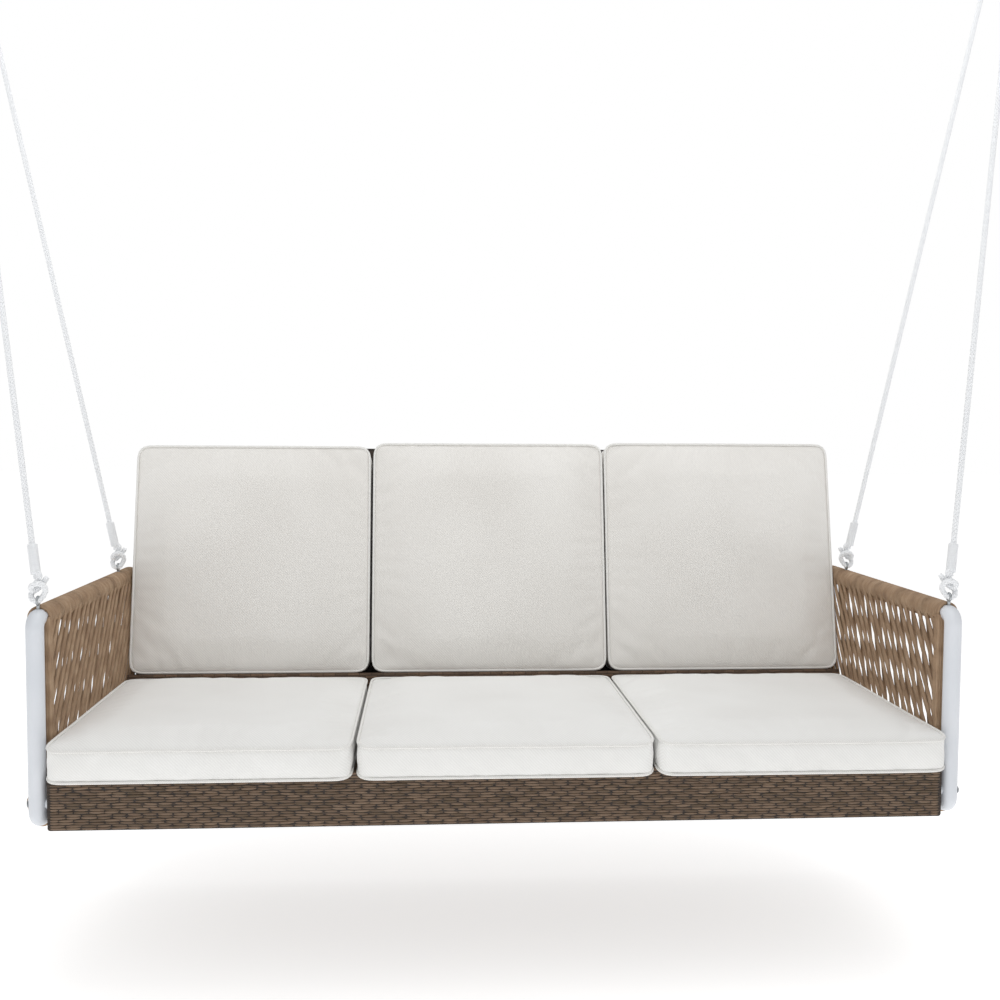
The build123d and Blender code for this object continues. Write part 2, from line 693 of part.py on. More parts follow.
with BuildPart() as pivot_nuts:
    for ear_plane in hanger_planes:
        with BuildSketch(ear_plane.offset(-ear_outer)):
            with Locations(pivot_spot):
                RegularPolygon(NUT_ACROSS / 2, 6, major_radius=False)
                Circle(PIVOT_R, mode=Mode.SUBTRACT)
        extrude(amount=-NUT_THICK)
pivot_nuts.part.label = "pivot_nuts"
export_step(pivot_nuts.part, "parts/pivot_nuts.step")

with BuildPart() as pivot_bushings:
    for ear_plane in hanger_planes:
        with BuildSketch(ear_plane):
            with Locations(pivot_spot):
                Circle(BUSHING_R)
                Circle(PIVOT_R + PIVOT_GAP, mode=Mode.SUBTRACT)
        extrude(amount=BUSHING_LENGTH / 2, both=True)
pivot_bushings.part.label = "pivot_bushings"
export_step(pivot_bushings.part, "parts/pivot_bushings.step")
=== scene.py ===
# %% [markdown]
# # A hanging porch swing
# A three-seat bench of bent white tube and woven plastic hangs on four ropes from two
# ceiling hangers. The CAD model gives every hard part and the room that each soft part has.
# This notebook adds what the eye looks for: plaited rope, wound and woven cord, wicker,
# and six box cushions with piping. Lengths are in metres, in the CAD model's own frame.

import math

import bpy
from mathutils import Matrix, Vector, noise


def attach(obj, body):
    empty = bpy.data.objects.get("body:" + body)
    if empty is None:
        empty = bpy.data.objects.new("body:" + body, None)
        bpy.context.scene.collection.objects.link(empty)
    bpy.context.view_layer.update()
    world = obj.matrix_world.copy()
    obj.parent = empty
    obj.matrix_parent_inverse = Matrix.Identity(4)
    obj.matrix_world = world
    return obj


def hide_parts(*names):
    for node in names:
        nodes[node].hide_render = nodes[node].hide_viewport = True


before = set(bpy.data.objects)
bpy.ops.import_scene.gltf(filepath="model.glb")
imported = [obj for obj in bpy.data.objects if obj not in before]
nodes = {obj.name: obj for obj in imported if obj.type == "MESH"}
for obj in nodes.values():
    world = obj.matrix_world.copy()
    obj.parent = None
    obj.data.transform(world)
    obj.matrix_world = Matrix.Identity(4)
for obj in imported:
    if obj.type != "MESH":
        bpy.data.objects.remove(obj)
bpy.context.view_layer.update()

# %% [markdown]
# ## Places on the bench
# The bench has its own handy coordinates in millimetres: Y backwards from the front posts
# and Z up from its lowest point. One function turns them into the model's frame, whose
# origin is up at the ceiling plates.

# %% Bench coordinates
SIDES = (("left", -1), ("right", 1))
POST_X = 856
LEAN = math.radians(11.5)
LEAN_Y = 622
LEAN_Z = 165
BALANCE_Y = 431
BENCH_DROP = 2389.5


def at(x, y, z):
    """A point in bench millimetres, in the model's frame."""
    return Vector((x, y - BALANCE_Y, z - BENCH_DROP)) / 1000


def lean_y(z):
    """Bench Y of the back's middle plane at bench height z."""
    return LEAN_Y + (z - LEAN_Z) * math.tan(LEAN)


print("front post foot at", at(POST_X, 0, 0))

# %% [markdown]
# ## Camera
# A 40 mm lens a little left of the middle of the bench, about two metres away at the height
# of a standing person's chest, looking slightly to the right and slightly down.

# %% Camera
CAMERA_PLACE = at(-145.87, -2046.37, 718.0)
CAMERA_YAW = math.radians(3.72)
CAMERA_DOWN = math.radians(3.21)
CAMERA_ROLL = math.radians(0.31)
LENS_MM = 40.01

ahead = Vector(
    (
        math.sin(CAMERA_YAW) * math.cos(CAMERA_DOWN),
        math.cos(CAMERA_YAW) * math.cos(CAMERA_DOWN),
        -math.sin(CAMERA_DOWN),
    )
)
level_right = Vector((math.cos(CAMERA_YAW), -math.sin(CAMERA_YAW), 0))
level_up = level_right.cross(ahead)
right = math.cos(CAMERA_ROLL) * level_right + math.sin(CAMERA_ROLL) * level_up
up = math.cos(CAMERA_ROLL) * level_up - math.sin(CAMERA_ROLL) * level_right
camera_data = bpy.data.cameras.new("camera")
camera_data.sensor_width = 36
camera_data.lens = LENS_MM
camera = bpy.data.objects.new("camera", camera_data)
bpy.context.scene.collection.objects.link(camera)
turn = Matrix((right, up, -ahead)).transposed().to_4x4()
camera.matrix_world = Matrix.Translation(CAMERA_PLACE) @ turn
bpy.context.scene.camera = camera
print("camera at", camera.location)

# %% [markdown]
# ## Helpers for node trees
# Materials and Geometry Nodes trees are both graphs, so one small function adds a node with
# its settings and links to either of them. Colours are written as sRGB hex, the way a
# designer notes them, and turned into the linear values that Blender works with.

# %% Node and colour helpers


def linear(hex_colour):
    """An sRGB hex colour as linear RGBA."""
    channels = [int(hex_colour[i : i + 2], 16) / 255 for i in (1, 3, 5)]
    return [c / 12.92 if c <= 0.04045 else ((c + 0.055) / 1.055) ** 2.4 for c in channels] + [1]


def add(tree, kind, inputs=None, **settings):
    """Adds a node; an input is a value, or an output socket to link from."""
    node = tree.nodes.new(kind)
    for name, value in settings.items():
        setattr(node, name, value)
    for name, value in (inputs or {}).items():
        socket = node.inputs[name]
        if isinstance(value, bpy.types.NodeSocket):
            tree.links.new(value, socket)
        else:
            socket.default_value = value
    return node


def math_node(tree, operation, *values):
    """A Math node's result."""
    node = add(tree, "ShaderNodeMath", dict(enumerate(values)), operation=operation)
    return node.outputs[0]


def vector_math(tree, operation, *values, scale=None):
    """A Vector Math node's vector result."""
    inputs = dict(enumerate(values))
    if scale is not None:
        inputs["Scale"] = scale
    return add(tree, "ShaderNodeVectorMath", inputs, operation=operation).outputs[0]


def new_material(name, roughness, metallic=0.0, **inputs):
    """A material with a Principled shader; returns the material, its tree and the shader."""
    material = bpy.data.materials.new(name)
    material.use_nodes = True
    tree = material.node_tree
    shader = tree.nodes["Principled BSDF"]
    shader.inputs["Roughness"].default_value = roughness
    shader.inputs["Metallic"].default_value = metallic
    for socket, value in inputs.items():
        shader.inputs[socket.replace("_", " ")].default_value = value
    return material, tree, shader


def ramp(tree, factor, stops):
    """A colour ramp through (position, hex colour) stops."""
    node = add(tree, "ShaderNodeValToRGB", {"Fac": factor})
    elements = node.color_ramp.elements
    while len(elements) < len(stops):
        elements.new(0.5)
    for element, (position, colour) in zip(elements, stops):
        element.position = position
        element.color = linear(colour)
    return node.outputs["Color"]


def bump(tree, height, distance, strength=1.0, normal=None):
    """A Bump node's normal; distance in metres."""
    inputs = {"Height": height, "Distance": distance, "Strength": strength}
    if normal is not None:
        inputs["Normal"] = normal
    return add(tree, "ShaderNodeBump", inputs).outputs["Normal"]


def clouds(tree, vector, size, detail=3.0, roughness=0.5):
    """Noise whose blobs are about size metres across."""
    inputs = {"Vector": vector, "Scale": 1 / size, "Detail": detail, "Roughness": roughness}
    return add(tree, "ShaderNodeTexNoise", inputs).outputs["Fac"]


def object_place(tree):
    return add(tree, "ShaderNodeTexCoord").outputs["Object"]


# %% [markdown]
# ## Painted tube and hardware
# The arm loops are steel tube with a white powder coat. Powder coat is baked plastic: an
# even, softly glossy skin with a faint orange-peel ripple. The hangers are zinc-plated
# steel: grey, a little mottled, with fine wear lines. Bushings are natural nylon.

# %% Coated metal and plastic materials


def powder_coat(name, low, high, roughness):
    """Baked powder coat: an even colour, soft gloss, and ripples about 2 mm across."""
    material, tree, shader = new_material(name, roughness, Coat_Weight=0.25)
    shader.inputs["Coat Roughness"].default_value = 0.25
    place = object_place(tree)
    speckle = clouds(tree, place, 0.12)
    shade = ramp(tree, speckle, [(0.3, low), (0.75, high)])
    tree.links.new(shade, shader.inputs["Base Color"])
    ripple = clouds(tree, place, 0.002, detail=1.0)
    tree.links.new(bump(tree, ripple, 0.00008), shader.inputs["Normal"])
    return material


def zinc_steel():
    """Zinc-plated steel: a dull grey metal with crystals and rubbed edges."""
    material, tree, shader = new_material("zinc_plated_steel", 0.38, metallic=1.0)
    place = object_place(tree)
    mottle = clouds(tree, place, 0.004)
    tree.links.new(
        ramp(tree, mottle, [(0.3, "#9fa3a6"), (0.7, "#c3c6c8")]), shader.inputs["Base Color"]
    )
    scuffs = clouds(tree, place, 0.0012, detail=4.0)
    tree.links.new(
        add(
            tree,
            "ShaderNodeMapRange",
            {"Value": scuffs, "To Min": 0.28, "To Max": 0.5},
        ).outputs["Result"],
        shader.inputs["Roughness"],
    )
    tree.links.new(bump(tree, scuffs, 0.00005), shader.inputs["Normal"])
    return material


def nylon_moulded():
    """Natural nylon: waxy, slightly see-through cream plastic."""
    material, tree, shader = new_material("nylon_moulded", 0.42, IOR=1.53)
    grain = clouds(tree, object_place(tree), 0.003)
    tree.links.new(
        ramp(tree, grain, [(0.3, "#dfdccf"), (0.7, "#ebe8dd")]), shader.inputs["Base Color"]
    )
    return material


white_coat = powder_coat("white_powder_coat", "#d6dae0", "#e0e3e8", 0.38)
brown_coat = powder_coat("brown_powder_coat", "#463a30", "#4e4035", 0.5)
steel = zinc_steel()
nylon = nylon_moulded()

# %% [markdown]
# ## Resin cord and wicker
# The arms are wound with round polyethylene cord, tan with darker and lighter streaks from
# the extruder. A cord carries a UV map: U runs along it and V round it, both in metres, so
# fine ribs follow every bend. The bench is woven in flat resin strand of a browner shade.
# Where only a glimpse shows, a brick-like weave in the shader does for real strands, with painted
# shade in its dips.

# %% Cord and wicker materials
STAKE_PITCH = 0.0138
ROW_PITCH = 0.0072


def resin_cord():
    """Extruded polyethylene cord: waxy, streaked along its length, with fine twisted ribs."""
    material, tree, shader = new_material("resin_cord_tan", 0.55, IOR=1.5)
    lay = add(tree, "ShaderNodeUVMap", uv_map="Lay").outputs["UV"]
    place = object_place(tree)
    patches = clouds(tree, place, 0.035)
    streaks = clouds(tree, vector_math(tree, "MULTIPLY", lay, (40, 900, 0)), 1.0)
    both = math_node(tree, "MULTIPLY_ADD", streaks, 0.5, math_node(tree, "MULTIPLY", patches, 0.5))
    stops = [(0.28, "#7d6048"), (0.5, "#a5886b"), (0.72, "#c2a78b")]
    tree.links.new(ramp(tree, both, stops), shader.inputs["Base Color"])
    ribs = add(
        tree,
        "ShaderNodeTexWave",
        {
            "Vector": vector_math(tree, "MULTIPLY", lay, (1.0, 1.6, 0)),
            "Scale": 180.0,
            "Distortion": 0.6,
        },
        bands_direction="DIAGONAL",
    ).outputs["Fac"]
    tree.links.new(bump(tree, ribs, 0.0004, 0.8), shader.inputs["Normal"])
    return material


def strand_wicker():
    """Flat resin strand: brown with grey and red streaks, each float a shade of its own."""
    material, tree, shader = new_material("resin_wicker_brown", 0.5, IOR=1.5)
    shade = add(tree, "ShaderNodeAttribute", attribute_name="shade").outputs["Fac"]
    place = object_place(tree)
    streaks = clouds(tree, vector_math(tree, "MULTIPLY", place, (60, 900, 900)), 1.0)
    both = math_node(tree, "MULTIPLY_ADD", streaks, 0.45, math_node(tree, "MULTIPLY", shade, 0.55))
    stops = [(0.15, "#55442f"), (0.5, "#6b5643"), (0.85, "#806a55")]
    tree.links.new(ramp(tree, both, stops), shader.inputs["Base Color"])
    tree.links.new(bump(tree, streaks, 0.0002, 0.7), shader.inputs["Normal"])
    return material


def shader_wicker(name, dark, light):
    """A woven surface drawn in the shader: bricks one float long and one strand high, with black
    mortar lines as painted shade in the dips between floats.
    """
    material, tree, shader = new_material(name, 0.6, IOR=1.5)
    place = object_place(tree)
    parts = add(tree, "ShaderNodeSeparateXYZ", {"Vector": place}).outputs
    rise = math_node(tree, "ADD", parts["Y"], parts["Z"])
    flat = add(tree, "ShaderNodeCombineXYZ", {"X": parts["X"], "Y": rise}).outputs[0]
    bricks = add(
        tree,
        "ShaderNodeTexBrick",
        {
            "Vector": flat,
            "Color1": (0.35, 0.35, 0.35, 1),
            "Color2": (0.85, 0.85, 0.85, 1),
            # The black mortar is painted shade in the dips between floats.
            "Mortar": (0.0, 0.0, 0.0, 1),
            "Scale": 1.0,
            "Mortar Size": 0.0009,
            "Mortar Smooth": 0.9,
            "Brick Width": 2 * STAKE_PITCH,
            "Row Height": ROW_PITCH,
        },
    ).outputs["Color"]
    streaks = clouds(tree, vector_math(tree, "MULTIPLY", place, (60, 700, 700)), 1.0)
    both = math_node(tree, "MULTIPLY", streaks, bricks)
    stops = [(0.02, dark), (0.45, light)]
    tree.links.new(ramp(tree, both, stops), shader.inputs["Base Color"])
    tree.links.new(bump(tree, bricks, 0.0012), shader.inputs["Normal"])
    return material


cord_resin = resin_cord()
wicker_resin = strand_wicker()
# The skin behind the floats is painted near black: painted shade in the gaps between floats.
wicker_backing_painted_shade = shader_wicker("resin_wicker_backing", "#1d1510", "#3c2e23")
wicker_panel = shader_wicker("resin_wicker_panel", "#34271d", "#7a614c")

# %% [markdown]
# ## Cloth and rope materials
# The covers are an ivory outdoor polyester with a fine slanting twill. A twill rib is really
# about a millimetre wide; it is drawn at three so that it shows at this distance. The UV map
# "Cloth" is laid out in metres on the flat panels before they are filled, so the ribs follow
# every swell and wrinkle. The ropes are white polyester, slightly fuzzy.

# %% Cloth and rope
TWILL_RIB = 0.003
PIPING_RIB = 0.002
# A wave texture of scale 1 repeats every 0.314 units.
WAVE_SCALE = 0.314


def outdoor_cloth(name, shade_low, shade_high):
    """Spun polyester twill: matte, softly fuzzy, with slanting ribs."""
    material, tree, shader = new_material(name, 0.85, Sheen_Weight=0.25, Sheen_Roughness=0.5)
    cloth = add(tree, "ShaderNodeUVMap", uv_map="Cloth").outputs["UV"]
    ribs = add(
        tree,
        "ShaderNodeTexWave",
        {
            "Vector": cloth,
            "Scale": WAVE_SCALE / TWILL_RIB,
            "Distortion": 0.8,
            "Detail": 2.0,
            "Detail Scale": 1.5,
        },
        bands_direction="DIAGONAL",
        wave_profile="SIN",
    ).outputs["Fac"]
    threads = add(
        tree,
        "ShaderNodeTexWave",
        {"Vector": cloth, "Scale": WAVE_SCALE / TWILL_RIB * 1.4, "Distortion": 1.5},
        bands_direction="X",
    ).outputs["Fac"]
    slubs = clouds(tree, cloth, 0.012)
    weave = math_node(tree, "MULTIPLY_ADD", threads, 0.4, ribs)
    stain = clouds(tree, object_place(tree), 0.25, detail=2.0)
    mix = math_node(tree, "MULTIPLY_ADD", weave, 0.25, math_node(tree, "MULTIPLY", stain, 0.65))
    stops = [(0.25, shade_low), (0.7, shade_high)]
    tree.links.new(ramp(tree, mix, stops), shader.inputs["Base Color"])
    fine = bump(tree, weave, 0.00035, 0.5)
    tree.links.new(bump(tree, slubs, 0.0006, 0.35, normal=fine), shader.inputs["Normal"])
    return material


def braided_polyester(name, low, high):
    """Spun polyester rope: bright, matte strands with filaments along them."""
    material, tree, shader = new_material(name, 0.7, Sheen_Weight=0.2, Sheen_Roughness=0.4)
    lay = add(tree, "ShaderNodeUVMap", uv_map="Lay").outputs["UV"]
    strands = clouds(tree, vector_math(tree, "MULTIPLY", lay, (60, 2500, 0)), 1.0)
    tree.links.new(ramp(tree, strands, [(0.3, low), (0.7, high)]), shader.inputs["Base Color"])
    tree.links.new(bump(tree, strands, 0.00015, 0.6), shader.inputs["Normal"])
    return material


seat_cloth = outdoor_cloth("ivory_twill_seat", "#e7e6e3", "#f3f3f1")
# The backs' copy of the cloth is a little darker and warmer: painted shade for the upright backs,
# which face the light less than the seat tops.
back_cloth_painted_shade = outdoor_cloth("ivory_twill_back_painted_shade", "#e2dfda", "#f0eeea")
rope_polyester = braided_polyester("rope_polyester_white", "#e9ebee", "#fbfcfd")
twine_polyester = braided_polyester("whipping_twine_white", "#e9ebee", "#fbfcfd")

# %% [markdown]
# ## Dress the CAD parts
# Hard parts whose CAD shape is already right only need their finish.

# %% Finishes on the CAD nodes
CAD_FINISH = {
    "arm_frame": white_coat,
    "arm_side_rail": white_coat,
    "frame_spacers": white_coat,
    "seat_frame": brown_coat,
    "seat_side_rail": brown_coat,
    "seat_cross_bars": brown_coat,
    "back_bottom_rail": brown_coat,
    "back_top_rail": brown_coat,
    "back_upright": brown_coat,
    "back_middle_uprights": brown_coat,
    "front_apron": wicker_backing_painted_shade,
    "rear_apron": wicker_backing_painted_shade,
    "back_panel": wicker_backing_painted_shade,
    "back_ledge": wicker_panel,
    "seat_deck": wicker_panel,
    "frame_bolts": steel,
    "rope_eyes": steel,
    "rivet_nuts": steel,
    "pivot_bolts": steel,
    "pivot_nuts": steel,
    "hanger_link": steel,
    "hanger_ring": steel,
    "ceiling_plate": steel,
    "pivot_bushings": nylon,
}
dressed = 0
for name, piece in nodes.items():
    finishes = [m for start, m in CAD_FINISH.items() if name.startswith(start)]
    if finishes:
        for slot in piece.material_slots:
            slot.material = finishes[0]
        dressed += 1
print(dressed, "CAD nodes dressed")

# %% [markdown]
# ## One tree for wound and plaited cord
# A plait is strands that circle a path, half of them each way, rising and sinking as they
# pass over and under each other. A winding is the same thing with a single strand and no
# rise. So one Geometry Nodes tree does both: it copies the path once for each strand, pushes
# each point out from the path at an angle that grows with length, and sweeps a small circle
# along the result. The UV map it stores runs along and round each strand.

# %% Geometry Nodes: strands round a path


def open_tree(name, sockets):
    """A new Geometry Nodes tree with named inputs; returns it with its two end nodes."""
    tree = bpy.data.node_groups.new(name, "GeometryNodeTree")
    face = tree.interface
    face.new_socket("Geometry", in_out="INPUT", socket_type="NodeSocketGeometry")
    face.new_socket("Geometry", in_out="OUTPUT", socket_type="NodeSocketGeometry")
    for socket, kind in sockets.items():
        face.new_socket(socket, in_out="INPUT", socket_type="NodeSocket" + kind)
    start = tree.nodes.new("NodeGroupInput")
    end = tree.nodes.new("NodeGroupOutput")
    return tree, start, end


def sweep_cord(tree, curve, radius, sides):
    """Sweeps a circle along a curve and stores its UV map, in metres along and round."""
    along = add(tree, "GeometryNodeSplineParameter").outputs["Length"]
    kept = add(tree, "GeometryNodeCaptureAttribute", {"Geometry": curve}, domain="POINT")
    kept.capture_items.new("FLOAT", "Along")
    tree.links.new(along, kept.inputs["Along"])
    circle = add(tree, "GeometryNodeCurvePrimitiveCircle", {"Resolution": sides, "Radius": radius})
    round_length = add(tree, "GeometryNodeSplineParameter").outputs["Length"]
    profile = {"Geometry": circle.outputs["Curve"]}
    rim = add(tree, "GeometryNodeCaptureAttribute", profile, domain="POINT")
    rim.capture_items.new("FLOAT", "Round")
    tree.links.new(round_length, rim.inputs["Round"])
    tube = add(
        tree,
        "GeometryNodeCurveToMesh",
        {
            "Curve": kept.outputs["Geometry"],
            "Profile Curve": rim.outputs["Geometry"],
            "Fill Caps": True,
        },
    ).outputs["Mesh"]
    uv = add(
        tree,
        "ShaderNodeCombineXYZ",
        {"X": kept.outputs["Along"], "Y": rim.outputs["Round"]},
    ).outputs[0]
    stored = add(
        tree,
        "GeometryNodeStoreNamedAttribute",
        {"Geometry": tube, "Name": "Lay", "Value": uv},
        data_type="FLOAT2",
        domain="CORNER",
    ).outputs["Geometry"]
    return add(tree, "GeometryNodeSetShadeSmooth", {"Geometry": stored}).outputs["Geometry"]


def strands_tree():
    """Strands that circle a path; see the cell above."""
    tree, start, end = open_tree(
        "strands_round_path",
        {
            "Strands": "Int",
            "Turns per Metre": "Float",
            "Lay Radius": "Float",
            "Strand Radius": "Float",
            "Rise": "Float",
            "Core Radius": "Float",
            "Step": "Float",
            "Sides": "Int",
            "Material": "Material",
        },
    )
    given = start.outputs
    path = add(
        tree,
        "GeometryNodeResampleCurve",
        {"Curve": given["Geometry"], "Length": given["Step"]},
        mode="LENGTH",
    ).outputs["Curve"]
    made = []
    for way in (1, -1):
        copies = add(
            tree,
            "GeometryNodeDuplicateElements",
            {"Geometry": path, "Amount": given["Strands"]},
            domain="SPLINE",
        )
        turns = math_node(tree, "MULTIPLY", given["Turns per Metre"], way * math.tau)
        length = add(tree, "GeometryNodeSplineParameter").outputs["Length"]
        wound = math_node(tree, "MULTIPLY", length, turns)
        share = math_node(tree, "DIVIDE", copies.outputs["Duplicate Index"], given["Strands"])
        angle = math_node(tree, "MULTIPLY_ADD", share, math.tau, wound)
        wave = math_node(tree, "COSINE", math_node(tree, "MULTIPLY", wound, given["Strands"]))
        rise = math_node(tree, "MULTIPLY", math_node(tree, "MULTIPLY", wave, way), given["Rise"])
        reach = math_node(tree, "ADD", given["Lay Radius"], rise)
        normal = add(tree, "GeometryNodeInputNormal").outputs["Normal"]
        tangent = add(tree, "GeometryNodeInputTangent").outputs["Tangent"]
        side = vector_math(tree, "CROSS_PRODUCT", tangent, normal)
        out = vector_math(
            tree,
            "ADD",
            vector_math(tree, "SCALE", normal, scale=math_node(tree, "COSINE", angle)),
            vector_math(tree, "SCALE", side, scale=math_node(tree, "SINE", angle)),
        )
        moved = add(
            tree,
            "GeometryNodeSetPosition",
            {
                "Geometry": copies.outputs["Geometry"],
                "Offset": vector_math(tree, "SCALE", out, scale=reach),
            },
        ).outputs["Geometry"]
        made.append(sweep_cord(tree, moved, given["Strand Radius"], given["Sides"]))
    core = sweep_cord(tree, path, given["Core Radius"], 8)
    one_way = add(
        tree,
        "GeometryNodeSwitch",
        {"Switch": math_node(tree, "GREATER_THAN", given["Rise"], 0.0), "True": made[1]},
        input_type="GEOMETRY",
    ).outputs["Output"]
    joined = add(tree, "GeometryNodeJoinGeometry")
    for part in (made[0], one_way, core):
        tree.links.new(part, joined.inputs["Geometry"])
    whole = add(tree, "GeometryNodeRealizeInstances", {"Geometry": joined.outputs["Geometry"]})
    finished = add(
        tree,
        "GeometryNodeSetMaterial",
        {"Geometry": whole.outputs["Geometry"], "Material": given["Material"]},
    )
    tree.links.new(finished.outputs["Geometry"], end.inputs["Geometry"])
    return tree


def cord_tree():
    """A plain round cord along each path."""
    tree, start, end = open_tree(
        "cord_along_path", {"Cord Radius": "Float", "Sides": "Int", "Material": "Material"}
    )
    given = start.outputs
    tube = sweep_cord(tree, given["Geometry"], given["Cord Radius"], given["Sides"])
    whole = add(tree, "GeometryNodeRealizeInstances", {"Geometry": tube})
    finished = add(
        tree,
        "GeometryNodeSetMaterial",
        {"Geometry": whole.outputs["Geometry"], "Material": given["Material"]},
    )
    tree.links.new(finished.outputs["Geometry"], end.inputs["Geometry"])
    return tree


STRANDS = strands_tree()
CORD = cord_tree()


def curve_of(name, paths, kind="POLY", closed=False):
    """A curve object with one spline for each list of points."""
    data = bpy.data.curves.new(name, "CURVE")
    data.dimensions = "3D"
    for points in paths:
        spline = data.splines.new(kind)
        spline.points.add(len(points) - 1)
        for point, place in zip(spline.points, points):
            point.co = (*place, 1)
        spline.use_cyclic_u = closed
        if kind == "NURBS":
            spline.order_u = 3
            spline.use_endpoint_u = True
            spline.resolution_u = 12
    curve = bpy.data.objects.new(name, data)
    bpy.context.scene.collection.objects.link(curve)
    return curve


def plain_mesh(source, name):
    """The evaluated source as a new mesh object; the source is removed."""
    graph = bpy.context.evaluated_depsgraph_get()
    mesh = bpy.data.meshes.new_from_object(source.evaluated_get(graph), depsgraph=graph)
    mesh.name = name
    bpy.data.objects.remove(source)
    made = bpy.data.objects.new(name, mesh)
    bpy.context.scene.collection.objects.link(made)
    return made


def grow(source, tree, name, **inputs):
    """Runs a Geometry Nodes tree on a source and returns the result as a plain mesh."""
    modifier = source.modifiers.new("grow", "NODES")
    modifier.node_group = tree
    sockets = {s.name: s.identifier for s in tree.interface.items_tree if s.in_out == "INPUT"}
    for socket, value in inputs.items():
        modifier[sockets[socket.replace("_", " ")]] = value
    made = plain_mesh(source, name)
    print(name, len(made.data.polygons), "faces")
    return made


def finish_piece(piece, body, node=None):
    """Lets a new piece ride on a body, and stand for a CAD node."""
    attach(piece, body)
    if node:
        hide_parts(*([node] if isinstance(node, str) else node))
    return piece


# %% [markdown]
# ## The four ropes
# Each rope is 12 mm plaited polyester, pulled straight by the weight of the bench, from its
# knot on the arm to its loop on the hanger's ring. A rope is described by one smooth spline.
# The strands follow points read from that spline.

# %% Ropes
ROPE_R = 0.006
EYE_YS = {"front": 20, "rear": 547}
KNOT_Z = 438
MEET_X = 1.2
ROPE_PAIR_GAP = 0.014
RING_R = 0.028
RING_BOTTOM_Z = -0.1585
LOOP_DROP = 0.0042
LOOP_R = 0.017
NEAR_END = 0.072

PLAIT = dict(
    Strands=4,
    Turns_per_Metre=30.0,
    Lay_Radius=0.0037,
    Strand_Radius=0.0019,
    Rise=0.0004,
    Core_Radius=0.0036,
    Step=0.0017,
    Sides=6,
    Material=rope_polyester,
)


def rope_line(sign, place):
    """The ring's wire, the loop's centre, the rope's two ends and its direction downwards."""
    shift = ROPE_PAIR_GAP / 2 * (-1 if place == "front" else 1)
    rise = RING_R - math.sqrt(RING_R**2 - shift**2)
    wire = Vector((sign * (MEET_X + shift), 0, RING_BOTTOM_Z + rise))
    knot = at(sign * POST_X, EYE_YS[place], KNOT_Z)
    down = (knot - wire).normalized()
    loop_centre = wire + down * LOOP_DROP
    top = loop_centre + down * (LOOP_R + ROPE_R)
    return loop_centre, top, knot - down * 0.02, down


def smooth_path(points, name="path"):
    """Points of the smooth spline that a route's points control."""
    curve = curve_of(name, [points], kind="NURBS")
    line = plain_mesh(curve, name)
    places = [v.co.copy() for v in line.data.vertices]
    bpy.data.objects.remove(line)
    return places


ropes = {}
for side, sign in SIDES:
    for place in EYE_YS:
        loop_centre, top, foot, down = rope_line(sign, place)
        route = [foot, foot - down * NEAR_END, top + down * NEAR_END, top]
        line = smooth_path(route)
        length = sum((b - a).length for a, b in zip(line, line[1:]))
        name = f"rope_{place}_{side}_plait"
        rope = grow(curve_of("line", [line]), STRANDS, name, **PLAIT)
        ropes[side, place] = (rope, foot, line, length)
        print(name, round(length, 4), "m")

# %% [markdown]
# ## Knots, sleeves and loops
# Below its sleeve each rope is tied to the arm's wire eye: it passes through the eye, turns
# back across itself and ends in a short stub. Above, it goes round the hanger's ring and is
# seized to itself with twine. The knots are drawn as a route for the same plait.

# %% Knot route
# Side, forward and up from the knot's centre, in millimetres, for a left-hand knot.
KNOT_ROUTE = [
    (4, 0, 27),
    (2, -3, 20),
    (-6, -10, 10),
    (-14, -9, -4),
    (-13, 0, -17),
    (-3, 6, -23),
    (3, 0, -21),
    (8, -6, -14),
    (14, -4, -2),
    (9, 4, 10),
    (-3, 10, 11),
    (-12, 7, 2),
    (-8, -2, -6),
    (0, -9, 2),
    (8, -10, 11),
    (14, -7, 20),
]


def knot_paths(sign, centre, down):
    """The knot's route round its centre; the rope comes in from above."""
    points = [centre - down * 0.04, centre - down * 0.031]
    for side_way, forward, height in KNOT_ROUTE:
        points.append(centre + Vector((-sign * side_way, -forward, height)) / 1000)
    return smooth_path(points)


def ring_path(centre, down, radius, count=40):
    """A closed circle in the plane of the rope and the bench's depth."""
    across = (Vector((1, 0, 0)) - down * down.x).normalized()
    flat = across.cross(down)
    return [
        centre
        + radius
        * (math.cos(math.tau * i / count) * down + math.sin(math.tau * i / count) * flat)
        for i in range(count)
    ]


